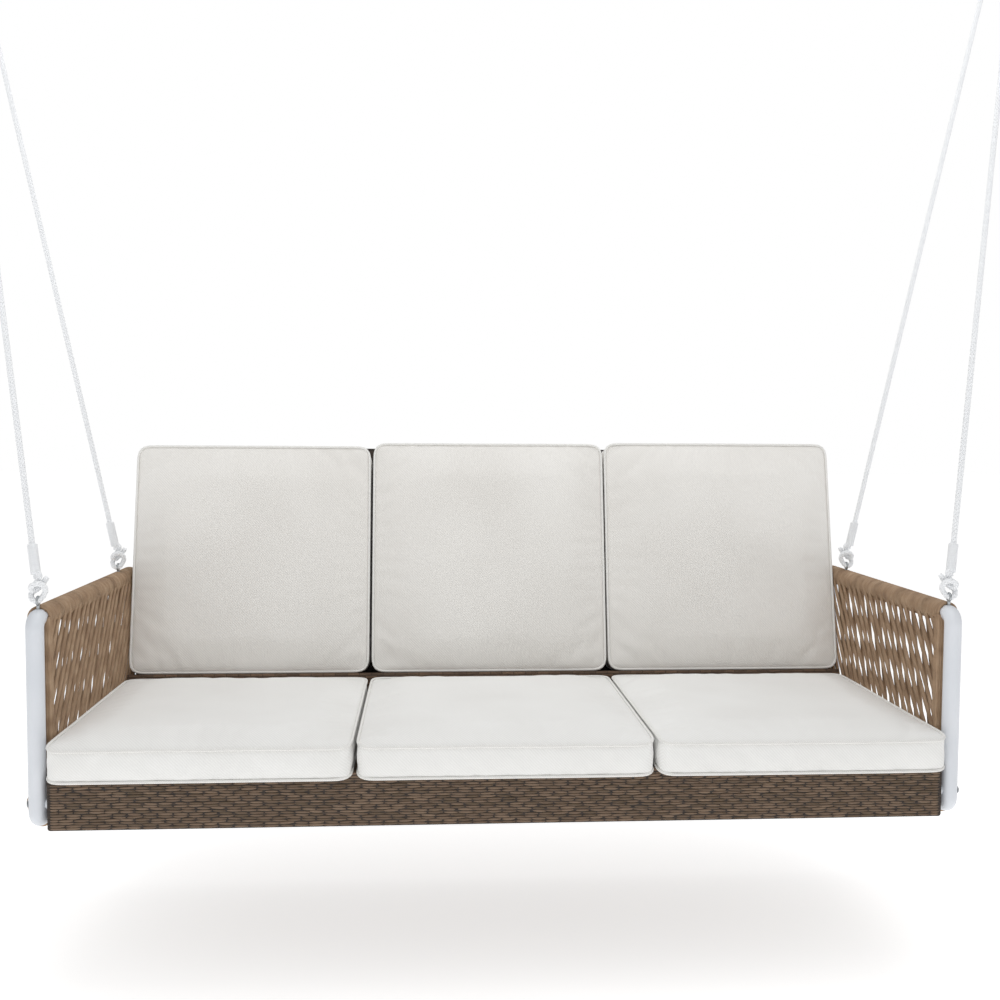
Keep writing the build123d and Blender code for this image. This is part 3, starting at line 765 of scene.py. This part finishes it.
TWINE = dict(
    Strands=1,
    Turns_per_Metre=500.0,
    Strand_Radius=0.00105,
    Rise=0.0,
    Step=0.00012,
    Sides=6,
    Material=twine_polyester,
)
SLEEVE_LENGTH = 0.055
SEIZING_START = 0.009
SEIZING_LENGTH = 0.06
for side, sign in SIDES:
    loops = []
    windings = []
    for place in EYE_YS:
        rope, foot, line, length = ropes[side, place]
        loop_centre, top, foot, down = rope_line(sign, place)
        knot_centre = foot + down * 0.02
        knot = grow(
            curve_of("line", [knot_paths(sign, knot_centre, down)]),
            STRANDS,
            f"knot_{place}_{side}_tied",
            **{**PLAIT, "Lay_Radius": 0.0034, "Strand_Radius": 0.0018, "Core_Radius": 0.0033},
        )
        finish_piece(knot, "swing", f"knot_{place}_{side}")
        sleeve_bottom = foot - down * 0.008
        sleeve_top = sleeve_bottom - down * SLEEVE_LENGTH
        sleeve = grow(
            curve_of("line", [[sleeve_bottom, sleeve_top]]),
            STRANDS,
            f"rope_sleeve_{place}_{side}_wound",
            **TWINE,
            Lay_Radius=0.0084,
            Core_Radius=0.0085,
        )
        finish_piece(sleeve, "swing", f"rope_sleeve_{place}_{side}")
        finish_piece(rope, "swing", f"rope_{place}_{side}")
        loops.append(ring_path(loop_centre, down, LOOP_R))
        start = top + down * SEIZING_START
        windings.append([start, start + down * SEIZING_LENGTH])
    loop = grow(
        curve_of("line", loops, closed=True), STRANDS, f"rope_loops_{side}_plait", **PLAIT
    )
    finish_piece(loop, "swing", f"rope_loops_{side}")
    seizing = grow(
        curve_of("line", windings),
        STRANDS,
        f"rope_seizings_{side}_wound",
        **TWINE,
        Lay_Radius=0.0069,
        Core_Radius=0.0071,
    )
    finish_piece(seizing, "swing", f"rope_seizings_{side}")

# %% [markdown]
# ## Cord wound on the arm rails
# The upper rail is wound from end to end. Low down, the same cord goes round the lower rail
# and the side rail together, so its turns follow the outline of both, with a bulge outwards.

# %% Rail windings
CORD_R = 0.00264
WRAP_LAY = 0.01875
WRAP_START_Y = 18.2
LEG_GAP = 18
UPPER_RAIL_Z = 385
LOWER_RAIL_Z = 16
BAND_ROUNDS = ((LOWER_RAIL_Z, 21.5), (40, 25), (56, 16))
WRAP_END_Y = lean_y(UPPER_RAIL_Z) - LEG_GAP - 4
BAND_END_Y = lean_y(LOWER_RAIL_Z) - LEG_GAP - 6
CORD_D_MM = 5.5
BAND_STEPS = 28


def band_outline(sign, angle):
    """The band's centre line, in bench millimetres from the post's X, at an angle round it."""
    facing = (math.cos(angle), math.sin(angle))
    best = None
    for z, r in BAND_ROUNDS:
        shift = max(0, r - 21.5) * sign
        reach = shift * facing[0] + z * facing[1] + r
        if best is None or reach > best[0]:
            best = (reach, shift, z, r)
    _, shift, z, r = best
    inside = r - CORD_D_MM / 2
    return shift + inside * facing[0], z + inside * facing[1]


for side, sign in SIDES:
    rail_line = [
        at(sign * POST_X, WRAP_START_Y + CORD_D_MM / 2, UPPER_RAIL_Z),
        at(sign * POST_X, WRAP_END_Y - CORD_D_MM / 2, UPPER_RAIL_Z),
    ]
    wrap = grow(
        curve_of("line", [rail_line]),
        STRANDS,
        f"arm_rail_wrap_{side}_cord",
        Strands=1,
        Turns_per_Metre=1000 / CORD_D_MM,
        Lay_Radius=WRAP_LAY,
        Strand_Radius=CORD_R,
        Rise=0.0,
        Core_Radius=0.0165,
        Step=0.00025,
        Sides=6,
        Material=cord_resin,
    )
    finish_piece(wrap, "swing", f"arm_rail_wrap_{side}")
    turns = int((BAND_END_Y - WRAP_START_Y - CORD_D_MM) / CORD_D_MM)
    coil = []
    for step in range(turns * BAND_STEPS + 1):
        x, z = band_outline(sign, math.tau * step / BAND_STEPS)
        y = WRAP_START_Y + CORD_D_MM / 2 + step / BAND_STEPS * CORD_D_MM
        coil.append(at(sign * POST_X + x, y, z))
    band = grow(
        curve_of("line", [coil]),
        CORD,
        f"arm_band_{side}_cord",
        Cord_Radius=CORD_R,
        Sides=6,
        Material=cord_resin,
    )
    finish_piece(band, "swing", f"arm_band_{side}")

# %% [markdown]
# ## Cord weave of the arms
# Between the windings, cords run down in pairs on both sides of the rail. Both layers lean
# forwards on the way down, the inner one more, so they pass each other about every 62 mm and
# leave long narrow slits in rows. Upright cords close the weave against the post and leg.

# %% Arm weave
PAIR_PITCH = 31
PAIR_SPREAD = 6.0
WEAVE_CORD_R = 0.0029
WEAVE_TOP_Z = 383
WEAVE_BOTTOM_Z = 72
WEAVE_POINTS = 8
FRONT_EDGE_Y = WRAP_START_Y + 3.2
REAR_EDGE_GAP = LEG_GAP + 7
EDGE_CORDS = 3
EDGE_PITCH = 5.9
FACE_CORDS = (-16.6, -12.8, -9.0)
FIRST_PAIR = -8
LAST_PAIR = 48
JOG = 9
WANDER = 3.0
LAYERS = (
    {"x": -18.4, "slope": -0.75, "phase": 0.1},
    {"x": 18.4, "slope": -0.25, "phase": 0.45},
)


def uneven(a, b, c, amount):
    """A repeatable small unevenness."""
    return noise.noise(Vector((a * 1.73 + 0.31, b * 0.87 + 0.17, c * 0.61 + 0.07))) * amount


def span_inside(middle, slope):
    """The heights between which a slanting cord stays between the post and the rear leg."""
    low, high = WEAVE_BOTTOM_Z, WEAVE_TOP_Z
    steps = [low + (high - low) * i / 200 for i in range(201)]
    inside = [
        z
        for z in steps
        if FRONT_EDGE_Y <= middle + slope * (WEAVE_TOP_Z - z) <= lean_y(z) - REAR_EDGE_GAP
    ]
    return (inside[0], inside[-1]) if len(inside) > 8 else None


def upright_row(sign, x, edge, end):
    """A cord that follows the front post or the rear leg, counted inwards from it."""
    points = []
    for step in range(WEAVE_POINTS):
        z = WEAVE_TOP_Z + (WEAVE_BOTTOM_Z - WEAVE_TOP_Z) * step / (WEAVE_POINTS - 1)
        if end == "front":
            y = FRONT_EDGE_Y + edge * EDGE_PITCH
        else:
            y = lean_y(z) - REAR_EDGE_GAP + 2 - edge * EDGE_PITCH
        points.append(at(sign * (POST_X + x), y, z))
    return points


def weave_paths(sign):
    """Every cord of one arm as a list of points."""
    paths = []
    for layer in LAYERS:
        for count in range(FIRST_PAIR, LAST_PAIR):
            jog = uneven(count * 3, 0, layer["x"], JOG)
            middle = WRAP_START_Y + (count + layer["phase"]) * PAIR_PITCH + jog
            for half in (-1, 1):
                start = middle + half * PAIR_SPREAD / 2
                span = span_inside(start, layer["slope"])
                if span is None:
                    continue
                points = []
                for step in range(WEAVE_POINTS):
                    z = span[1] + (span[0] - span[1]) * step / (WEAVE_POINTS - 1)
                    y = start + layer["slope"] * (WEAVE_TOP_Z - z)
                    y += uneven(count + half * 0.2, step, layer["x"], WANDER)
                    y = min(max(y, FRONT_EDGE_Y), lean_y(z) - REAR_EDGE_GAP)
                    points.append(at(sign * (POST_X + layer["x"]), y, z))
                paths.append(points)
        for edge in range(EDGE_CORDS):
            rows = [upright_row(sign, layer["x"], edge, end) for end in ("front", "rear")]
            paths += rows
    for x in FACE_CORDS:
        paths.append(upright_row(sign, x, 0, "front"))
    return paths


for side, sign in SIDES:
    weave = grow(
        curve_of("line", weave_paths(sign)),
        CORD,
        f"arm_weave_{side}_cord",
        Cord_Radius=WEAVE_CORD_R,
        Sides=8,
        Material=cord_resin,
    )
    finish_piece(weave, "swing", f"arm_weave_{side}")

# %% [markdown]
# ## Wicker floats
# In wicker, a flat strand passes over one stake and under the next. What shows is rows of
# long floats with dark dips between. On the aprons the strands run double, so two rows share
# a phase before it shifts by a stake. The tree sets one small lens on each point of a grid,
# gives it a little random size, turn and shade, and leaves it half sunk in the skin behind.
# A second, narrow field of short floats makes the turns at the ends.

# %% Geometry Nodes: floats on a panel


def floats_tree():
    """Lens-shaped floats in staggered rows over a rectangle in X and Y."""
    tree, start, end = open_tree(
        "wicker_floats",
        {
            "Width": "Float",
            "Height": "Float",
            "Columns": "Int",
            "Rows": "Int",
            "Rows per Phase": "Int",
            "Stagger": "Float",
            "Float Length": "Float",
            "Float Height": "Float",
            "Bulge": "Float",
            "Segments": "Int",
            "Seed": "Int",
            "Material": "Material",
        },
    )
    given = start.outputs
    grid = add(
        tree,
        "GeometryNodeMeshGrid",
        {
            "Size X": given["Width"],
            "Size Y": given["Height"],
            "Vertices X": given["Columns"],
            "Vertices Y": given["Rows"],
        },
    ).outputs["Mesh"]
    index = add(tree, "GeometryNodeInputIndex").outputs["Index"]
    row = math_node(tree, "FLOORED_MODULO", index, given["Rows"])
    band = math_node(tree, "FLOOR", math_node(tree, "DIVIDE", row, given["Rows per Phase"]))
    odd = math_node(tree, "FLOORED_MODULO", band, 2.0)
    wobble = add(
        tree,
        "FunctionNodeRandomValue",
        {"Min": (-0.0008, -0.0004, 0.0), "Max": (0.0008, 0.0004, 0.0), "Seed": given["Seed"]},
        data_type="FLOAT_VECTOR",
    ).outputs["Value"]
    shift = math_node(
        tree, "MULTIPLY", math_node(tree, "SUBTRACT", odd, 0.5), given["Stagger"]
    )
    offset = vector_math(
        tree, "ADD", add(tree, "ShaderNodeCombineXYZ", {"X": shift}).outputs[0], wobble
    )
    moved = add(tree, "GeometryNodeSetPosition", {"Geometry": grid, "Offset": offset})
    placed = moved.outputs["Geometry"]
    lens = add(
        tree,
        "GeometryNodeMeshUVSphere",
        {"Segments": given["Segments"], "Rings": 5, "Radius": 0.5},
    ).outputs["Mesh"]
    size = add(
        tree,
        "ShaderNodeCombineXYZ",
        {"X": given["Float Length"], "Y": given["Float Height"], "Z": given["Bulge"]},
    ).outputs[0]
    squared = add(
        tree,
        "GeometryNodeTransform",
        {"Geometry": lens, "Rotation": (0, math.pi / 2, 0)},
    ).outputs["Geometry"]
    scaled = add(tree, "GeometryNodeTransform", {"Geometry": squared, "Scale": size})
    shaped = scaled.outputs["Geometry"]
    tilt = add(
        tree,
        "FunctionNodeRandomValue",
        {"Min": (-0.05, -0.04, -0.05), "Max": (0.05, 0.04, 0.05), "Seed": given["Seed"]},
        data_type="FLOAT_VECTOR",
    ).outputs["Value"]
    stretch = add(
        tree,
        "FunctionNodeRandomValue",
        {"Min": (0.88, 0.85, 0.75), "Max": (1.12, 1.05, 1.15), "Seed": given["Seed"]},
        data_type="FLOAT_VECTOR",
    ).outputs["Value"]
    set_out = add(
        tree,
        "GeometryNodeInstanceOnPoints",
        {"Points": placed, "Instance": shaped, "Rotation": tilt, "Scale": stretch},
    ).outputs["Instances"]
    shade = add(
        tree, "FunctionNodeRandomValue", {"Seed": given["Seed"]}, data_type="FLOAT"
    )
    tinted = add(
        tree,
        "GeometryNodeStoreNamedAttribute",
        {"Geometry": set_out, "Name": "shade", "Value": shade.outputs[1]},
        data_type="FLOAT",
        domain="INSTANCE",
    ).outputs["Geometry"]
    whole = add(tree, "GeometryNodeRealizeInstances", {"Geometry": tinted}).outputs["Geometry"]
    smooth = add(tree, "GeometryNodeSetShadeSmooth", {"Geometry": whole}).outputs["Geometry"]
    finished = add(
        tree, "GeometryNodeSetMaterial", {"Geometry": smooth, "Material": given["Material"]}
    )
    tree.links.new(finished.outputs["Geometry"], end.inputs["Geometry"])
    return tree


FLOATS = floats_tree()


FIELD_HALF = 0.832
END_FLOAT = 0.017
WOBBLE = 0.001
LONGEST = 1.12


def wicker(name, centre, turn_x, height, seed, row_pitch, rows_per_phase, segments):
    """A field of floats and its end turns, in the plane through centre turned about X."""
    rows = round(height / row_pitch)
    float_length = 2.1 * STAKE_PITCH
    reach = FIELD_HALF - WOBBLE - STAKE_PITCH / 2 - float_length / 2 * LONGEST
    columns = round(reach / STAKE_PITCH) + 1
    end_reach = FIELD_HALF - WOBBLE - END_FLOAT / 2 * LONGEST
    fields = (
        ("floats", reach, columns, STAKE_PITCH, float_length),
        ("ends", end_reach, 2, 0.0, END_FLOAT),
    )
    for part, half, count, stagger, length in fields:
        field = grow(
            curve_of("field", [[(0, 0, 0), (1, 0, 0)]]),
            FLOATS,
            f"{name}_{part}",
            Width=2 * half,
            Height=height - row_pitch,
            Columns=count,
            Rows=rows,
            Rows_per_Phase=rows_per_phase,
            Stagger=stagger,
            Float_Length=length,
            Float_Height=row_pitch * 1.08,
            Bulge=0.0042,
            Segments=segments,
            Seed=seed,
            Material=wicker_resin,
        )
        field.data.transform(Matrix.Translation(centre) @ Matrix.Rotation(turn_x, 4, "X"))
        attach(field, "swing")


# %% Floats on the aprons and the back
APRON_HALF_DEPTH = 16.5
APRON_HEIGHT = 96
REAR_Y = 600
BACK_BOTTOM_Z = 104
BACK_TOP_Z = 686
BACK_HALF = 16.0
APRON_ROW = 0.0049
APRON_FIELD = 0.094
SUNK = 0.6
BACK_ROW = 0.0092
QUARTER = math.pi / 2
for name, y, out, seed in (
    ("front_apron", 0, -1, 3),
    ("rear_apron", REAR_Y, 1, 4),
):
    face = at(0, y + out * (APRON_HALF_DEPTH - SUNK), APRON_HEIGHT / 2)
    wicker(name, face, -out * QUARTER, APRON_FIELD, seed, APRON_ROW, 2, 8)
back_middle = (BACK_BOTTOM_Z + BACK_TOP_Z) / 2
back_long = (BACK_TOP_Z - BACK_BOTTOM_Z) / math.cos(LEAN) / 1000
outward = Vector((0, math.cos(LEAN), -math.sin(LEAN)))
back_face = at(0, lean_y(back_middle), back_middle) + outward * (BACK_HALF - SUNK) / 1000
wicker("back_panel", back_face, -QUARTER - LEAN, back_long - 0.004, 5, BACK_ROW, 1, 6)

# %% [markdown]
# ## Box cushions
# A box cushion is two flat panels joined by a band, with piping in both seams, filled so
# that the panels crown and the band bulges between the seams. The blank is a rounded
# box with an even grid, so its UV map can be in flat metres. Cloth simulation with air
# pressure inside fills it; the seams are pinned, as the stiff piping holds them on a real
# cushion, and the slightly oversized cloth wrinkles. Each cover is then pressed flat where it
# leans on a neighbour, deck, panel or ledge, and the piping is laid in the seams.

# %% Cushion blanks
SEAT_PITCH = 556.5
CUSHION_WIDTH = 0.553
CORNER = 0.020
GRID = 0.011
SEAT_DEPTH = 0.564
SEAT_THICK = 0.065
SIM_FRAMES = 20
CAP = 0.02


def rounded(x, y, half_x, half_y, corner):
    """Moves a point of a rectangle into the same rectangle with round corners."""
    cx, cy = half_x - corner, half_y - corner
    dx, dy = abs(x) - cx, abs(y) - cy
    if dx <= 0 or dy <= 0:
        return x, y
    u, v = dx / corner, dy / corner
    nx = u * math.sqrt(1 - v * v / 2) * corner
    ny = v * math.sqrt(1 - u * u / 2) * corner
    return math.copysign(cx + nx, x), math.copysign(cy + ny, y)


def cushion_blank(name, width, depth, thick, seed):
    """A rounded box of cloth, its two seams in the vertex group 'seam', its UVs in metres."""
    nx, ny, nz = round(width / GRID), round(depth / GRID), 6
    index = {}
    places = []
    for i in range(nx + 1):
        for j in range(ny + 1):
            for k in range(nz + 1):
                if i in (0, nx) or j in (0, ny) or k in (0, nz):
                    x = (i / nx - 0.5) * width
                    y = (j / ny - 0.5) * depth
                    z = (k / nz - 0.5) * thick
                    index[i, j, k] = len(places)
                    places.append((*rounded(x, y, width / 2, depth / 2, CORNER), z))
    faces, charts = [], []

    def quad(corners, chart):
        faces.append([index[c] for c in corners])
        charts.append(chart)

    for i in range(nx):
        for j in range(ny):
            top = [(i, j, nz), (i + 1, j, nz), (i + 1, j + 1, nz), (i, j + 1, nz)]
            quad(top, "flat")
            quad([(a, b, 0) for a, b, _ in reversed(top)], "flat")
    for k in range(nz):
        for i in range(nx):
            quad([(i, 0, k), (i + 1, 0, k), (i + 1, 0, k + 1), (i, 0, k + 1)], "wide")
            quad([(i + 1, ny, k), (i, ny, k), (i, ny, k + 1), (i + 1, ny, k + 1)], "wide")
        for j in range(ny):
            quad([(0, j + 1, k), (0, j, k), (0, j, k + 1), (0, j + 1, k + 1)], "deep")
            quad([(nx, j, k), (nx, j + 1, k), (nx, j + 1, k + 1), (nx, j, k + 1)], "deep")
    mesh = bpy.data.meshes.new(name)
    mesh.from_pydata(places, [], faces)
    chart_axes = {"flat": (0, 1), "wide": (0, 2), "deep": (1, 2)}
    uv = mesh.uv_layers.new(name="Cloth")
    for face, chart in zip(mesh.polygons, charts):
        a, b = chart_axes[chart]
        for corner in face.loop_indices:
            place = places[mesh.loops[corner].vertex_index]
            uv.data[corner].uv = (place[a] + seed * 0.37, place[b] + seed * 0.21)
    piece = bpy.data.objects.new(name, mesh)
    bpy.context.scene.collection.objects.link(piece)
    seam = piece.vertex_groups.new(name="seam")
    rims = []
    for (i, j, k), vertex in index.items():
        if k in (0, nz) and (i in (0, nx) or j in (0, ny)):
            rims.append(vertex)
    seam.add(rims, 1.0, "REPLACE")
    ring = [(i, 0) for i in range(nx)] + [(nx, j) for j in range(ny)]
    ring += [(i, ny) for i in range(nx, 0, -1)] + [(0, j) for j in range(ny, 0, -1)]
    seams = [[index[i, j, k] for i, j in ring] for k in (0, nz)]
    return piece, seams


def rumple(piece, amount, seed):
    """Uneven filling: low swells all over, stronger on the upper panel."""
    for vertex in piece.data.vertices:
        swell = noise.noise(vertex.co * 5 + Vector((seed * 3.1, 0, 0)))
        fine = noise.noise(vertex.co * 14 + Vector((0, seed * 2.3, 0)))
        vertex.co.z += (swell + 0.5 * fine) * amount * (1 if vertex.co.z > 0 else 0.3)


def inflate(piece, cap):
    """Fills a cushion by cloth simulation and keeps every point within cap of its start."""
    start = [v.co.copy() for v in piece.data.vertices]
    cloth = piece.modifiers.new("cloth", "CLOTH")
    settings = cloth.settings
    settings.quality = 5
    settings.mass = 0.25
    settings.tension_stiffness = 25
    settings.compression_stiffness = 12
    settings.bending_stiffness = 1.2
    settings.shrink_min = -0.012
    settings.use_pressure = True
    settings.uniform_pressure_force = 4
    settings.vertex_group_mass = "seam"
    settings.pin_stiffness = 1
    settings.effector_weights.gravity = 0
    cloth.collision_settings.use_collision = False
    cloth.point_cache.frame_start = 1
    cloth.point_cache.frame_end = SIM_FRAMES
    scene = bpy.context.scene
    for step in range(1, SIM_FRAMES + 1):
        scene.frame_set(step)
    graph = bpy.context.evaluated_depsgraph_get()
    result = [v.co.copy() for v in piece.evaluated_get(graph).data.vertices]
    piece.modifiers.remove(cloth)
    scene.frame_set(1)
    for vertex, was, now in zip(piece.data.vertices, start, result):
        move = now - was
        vertex.co = was + move * min(1, cap / max(move.length, 1e-9))


# %% Filling, piping and placing each cushion
PIPING_R = 0.0028
PIPING_OUTSET = 0.0006
GIVE = 0.0027
# Where the overhang starts, in the seat cushion's own frame, and how far it reaches.
APRON_FRONT = -0.244
OVERHANG = 0.038


def piping_paths(piece, seams):
    """The seam lines of the filled cushion, smoothed and set just outside the cloth."""
    paths = []
    for seam in seams:
        points = [piece.data.vertices[i].co.copy() for i in seam]
        centre = sum(points, Vector()) / len(points)
        for _ in range(2):
            points = [
                (points[i - 1] + points[i] * 2 + points[(i + 1) % len(points)]) / 4
                for i in range(len(points))
            ]
        for point in points:
            point += (point - centre).normalized() * PIPING_OUTSET
        paths.append(points)
    return paths


def press_flat(piece, size, behind, end):
    """Flattens a cover on its neighbours, on the deck or panel behind it, and on the ledge."""
    half_width, half_depth = size[0] / 2 + GIVE, size[1] / 2 + GIVE
    for vertex in piece.data.vertices:
        vertex.co.x = min(max(vertex.co.x, -half_width), half_width)
        vertex.co.z = max(vertex.co.z, -behind)
        if vertex.co.y * end > half_depth:
            vertex.co.y = half_depth * end


def droop(piece, amount):
    """Lets the front of a seat cushion sink where it hangs out over the front apron."""
    for vertex in piece.data.vertices:
        past = max(0, APRON_FRONT - vertex.co.y) / OVERHANG
        vertex.co.z -= amount * past**2


def make_cushion(
    name, size, behind, end, place, turn_x, cloth, seed, sag=0
):
    """A filled, piped box cushion at a place, turned about X."""
    width, depth, thick = size
    piece, seams = cushion_blank(name + "_cover", width, depth, thick, seed)
    rumple(piece, 0.0012, seed)
    inflate(piece, CAP)
    press_flat(piece, size, behind, end)
    if sag:
        droop(piece, sag)
    paths = piping_paths(piece, seams)
    where = Matrix.Translation(place) @ Matrix.Rotation(turn_x, 4, "X")
    smooth = piece.modifiers.new("smooth", "SUBSURF")
    smooth.levels = smooth.render_levels = 1
    filled = plain_mesh(piece, name + "_cover")
    filled.data.materials.append(cloth)
    for face in filled.data.polygons:
        face.use_smooth = True
    filled.data.transform(where)
    finish_piece(filled, name, name)
    piping = grow(
        curve_of("line", paths, closed=True),
        CORD,
        name + "_piping",
        Cord_Radius=PIPING_R,
        Sides=8,
        Material=piping_cloth,
    )
    piping.data.transform(where)
    finish_piece(piping, name)
    xs = [v.co.x * 1000 for v in filled.data.vertices]
    print(name, "from x", round(min(xs), 1), "to", round(max(xs), 1), "mm")
    return filled


def piping_twill():
    """The covers' cloth cut on the bias and sewn round a cord: fine cross ribs."""
    material, tree, shader = new_material("ivory_piping", 0.85, Sheen_Weight=0.2)
    lay = add(tree, "ShaderNodeUVMap", uv_map="Lay").outputs["UV"]
    ribs = add(
        tree,
        "ShaderNodeTexWave",
        {"Vector": lay, "Scale": WAVE_SCALE / PIPING_RIB, "Distortion": 0.5},
        bands_direction="DIAGONAL",
    ).outputs["Fac"]
    tree.links.new(
        ramp(tree, ribs, [(0.2, "#e2e1dd"), (0.8, "#f2f1ee")]), shader.inputs["Base Color"]
    )
    tree.links.new(bump(tree, ribs, 0.0002, 0.5), shader.inputs["Normal"])
    return material


piping_cloth = piping_twill()
SEAT_FRONT_Y = -52
SEAT_BACK_Y = 512
SEAT_BOTTOM_Z = 100.5
SEAT_TOP_Z = 165.5
SEAT_MIDDLE = (SEAT_FRONT_Y + SEAT_BACK_Y) / 2
SEAT_MIDDLE_Z = (SEAT_BOTTOM_Z + SEAT_TOP_Z) / 2
SIDE_TRIM = 0.006
SEAT_TRIM = 0.008
BACK_TRIM = 0.014
BACK_THICK = 0.0817
BACK_FROM_Z = 152
BACK_TO_Z = 688
back_length = (BACK_TO_Z - BACK_FROM_Z) / math.cos(LEAN) / 1000
facing = Vector((0, -math.cos(LEAN), math.sin(LEAN)))
rising = Vector((0, math.sin(LEAN), math.cos(LEAN)))
back_centre_z = (BACK_FROM_Z + BACK_TO_Z) / 2
back_front = facing * (BACK_HALF + 0.6) / 1000
# Name, step along the bench, and how much narrower and shorter than its room, in metres.
CUSHIONS = (
    ("left", -1, 0.004, 0.011),
    ("middle", 0, 0.001, 0.003),
    ("right", 1, 0.0, 0.0),
)
for number, (place, step, narrower, shorter) in enumerate(CUSHIONS):
    make_cushion(
        f"seat_cushion_{place}",
        (CUSHION_WIDTH - SIDE_TRIM - narrower, SEAT_DEPTH - SIDE_TRIM, SEAT_THICK - SEAT_TRIM),
        SEAT_THICK / 2,
        1,
        at(step * SEAT_PITCH, SEAT_MIDDLE, SEAT_MIDDLE_Z),
        0,
        seat_cloth,
        number + 1,
        sag=0.008,
    )
    middle = at(step * SEAT_PITCH, lean_y(back_centre_z), back_centre_z)
    make_cushion(
        f"back_cushion_{place}",
        (
            CUSHION_WIDTH - SIDE_TRIM - narrower,
            back_length - SIDE_TRIM - shorter,
            BACK_THICK - BACK_TRIM,
        ),
        BACK_THICK / 2,
        -1,
        middle + back_front + facing * BACK_THICK / 2 - rising * shorter / 2,
        QUARTER - LEAN,
        back_cloth_painted_shade,
        number + 4,
    )

# %% [markdown]
# ## Floor and light
# A plain white studio: a pale, faintly glowing floor below the hanging bench, a big soft
# light above, a weaker one in front, and an even sky that fills the shadows. The sky is seen
# as white, and lights the bench at about half of that.

# %% Studio
FLOOR_DROP = 330
FLOOR_GLOW = 0.55
SKY_FILL = 0.5


def area_light(name, place, target, size, power):
    data = bpy.data.lights.new(name, "AREA")
    data.shape = "SQUARE"
    data.size = size
    data.energy = power
    lamp = bpy.data.objects.new(name, data)
    bpy.context.scene.collection.objects.link(lamp)
    lamp.location = place
    lamp.rotation_mode = "QUATERNION"
    lamp.rotation_quaternion = (target - place).to_track_quat("-Z", "Y")


floor_mesh = bpy.data.meshes.new("studio_floor")
reach = 30
floor_z = at(0, 0, -FLOOR_DROP).z
floor_mesh.from_pydata(
    [
        (-reach, -reach, floor_z),
        (reach, -reach, floor_z),
        (reach, reach, floor_z),
        (-reach, reach, floor_z),
    ],
    [],
    [(0, 1, 2, 3)],
)
floor = bpy.data.objects.new("studio_floor", floor_mesh)
bpy.context.scene.collection.objects.link(floor)
paper, _, paper_shader = new_material("white_studio_floor", 0.9)
paper_shader.inputs["Base Color"].default_value = linear("#fbfbfb")
paper_shader.inputs["Emission Color"].default_value = (1, 1, 1, 1)
paper_shader.inputs["Emission Strength"].default_value = FLOOR_GLOW
floor_mesh.materials.append(paper)

sky = bpy.data.worlds.new("studio_sky")
sky.use_nodes = True
backdrop = sky.node_tree.nodes["Background"]
backdrop.inputs["Color"].default_value = (1, 1, 1, 1)
seen = add(sky.node_tree, "ShaderNodeLightPath").outputs["Is Camera Ray"]
strength = math_node(sky.node_tree, "MULTIPLY_ADD", seen, 1 - SKY_FILL, SKY_FILL)
sky.node_tree.links.new(strength, backdrop.inputs["Strength"])
bpy.context.scene.world = sky
bpy.context.scene.view_settings.view_transform = "Standard"

bench_middle = at(0, 300, 250)
area_light("key", at(-900, -2600, 2300), bench_middle, 2.6, 14)
area_light("top", at(200, 200, 2900), bench_middle, 3.0, 34)
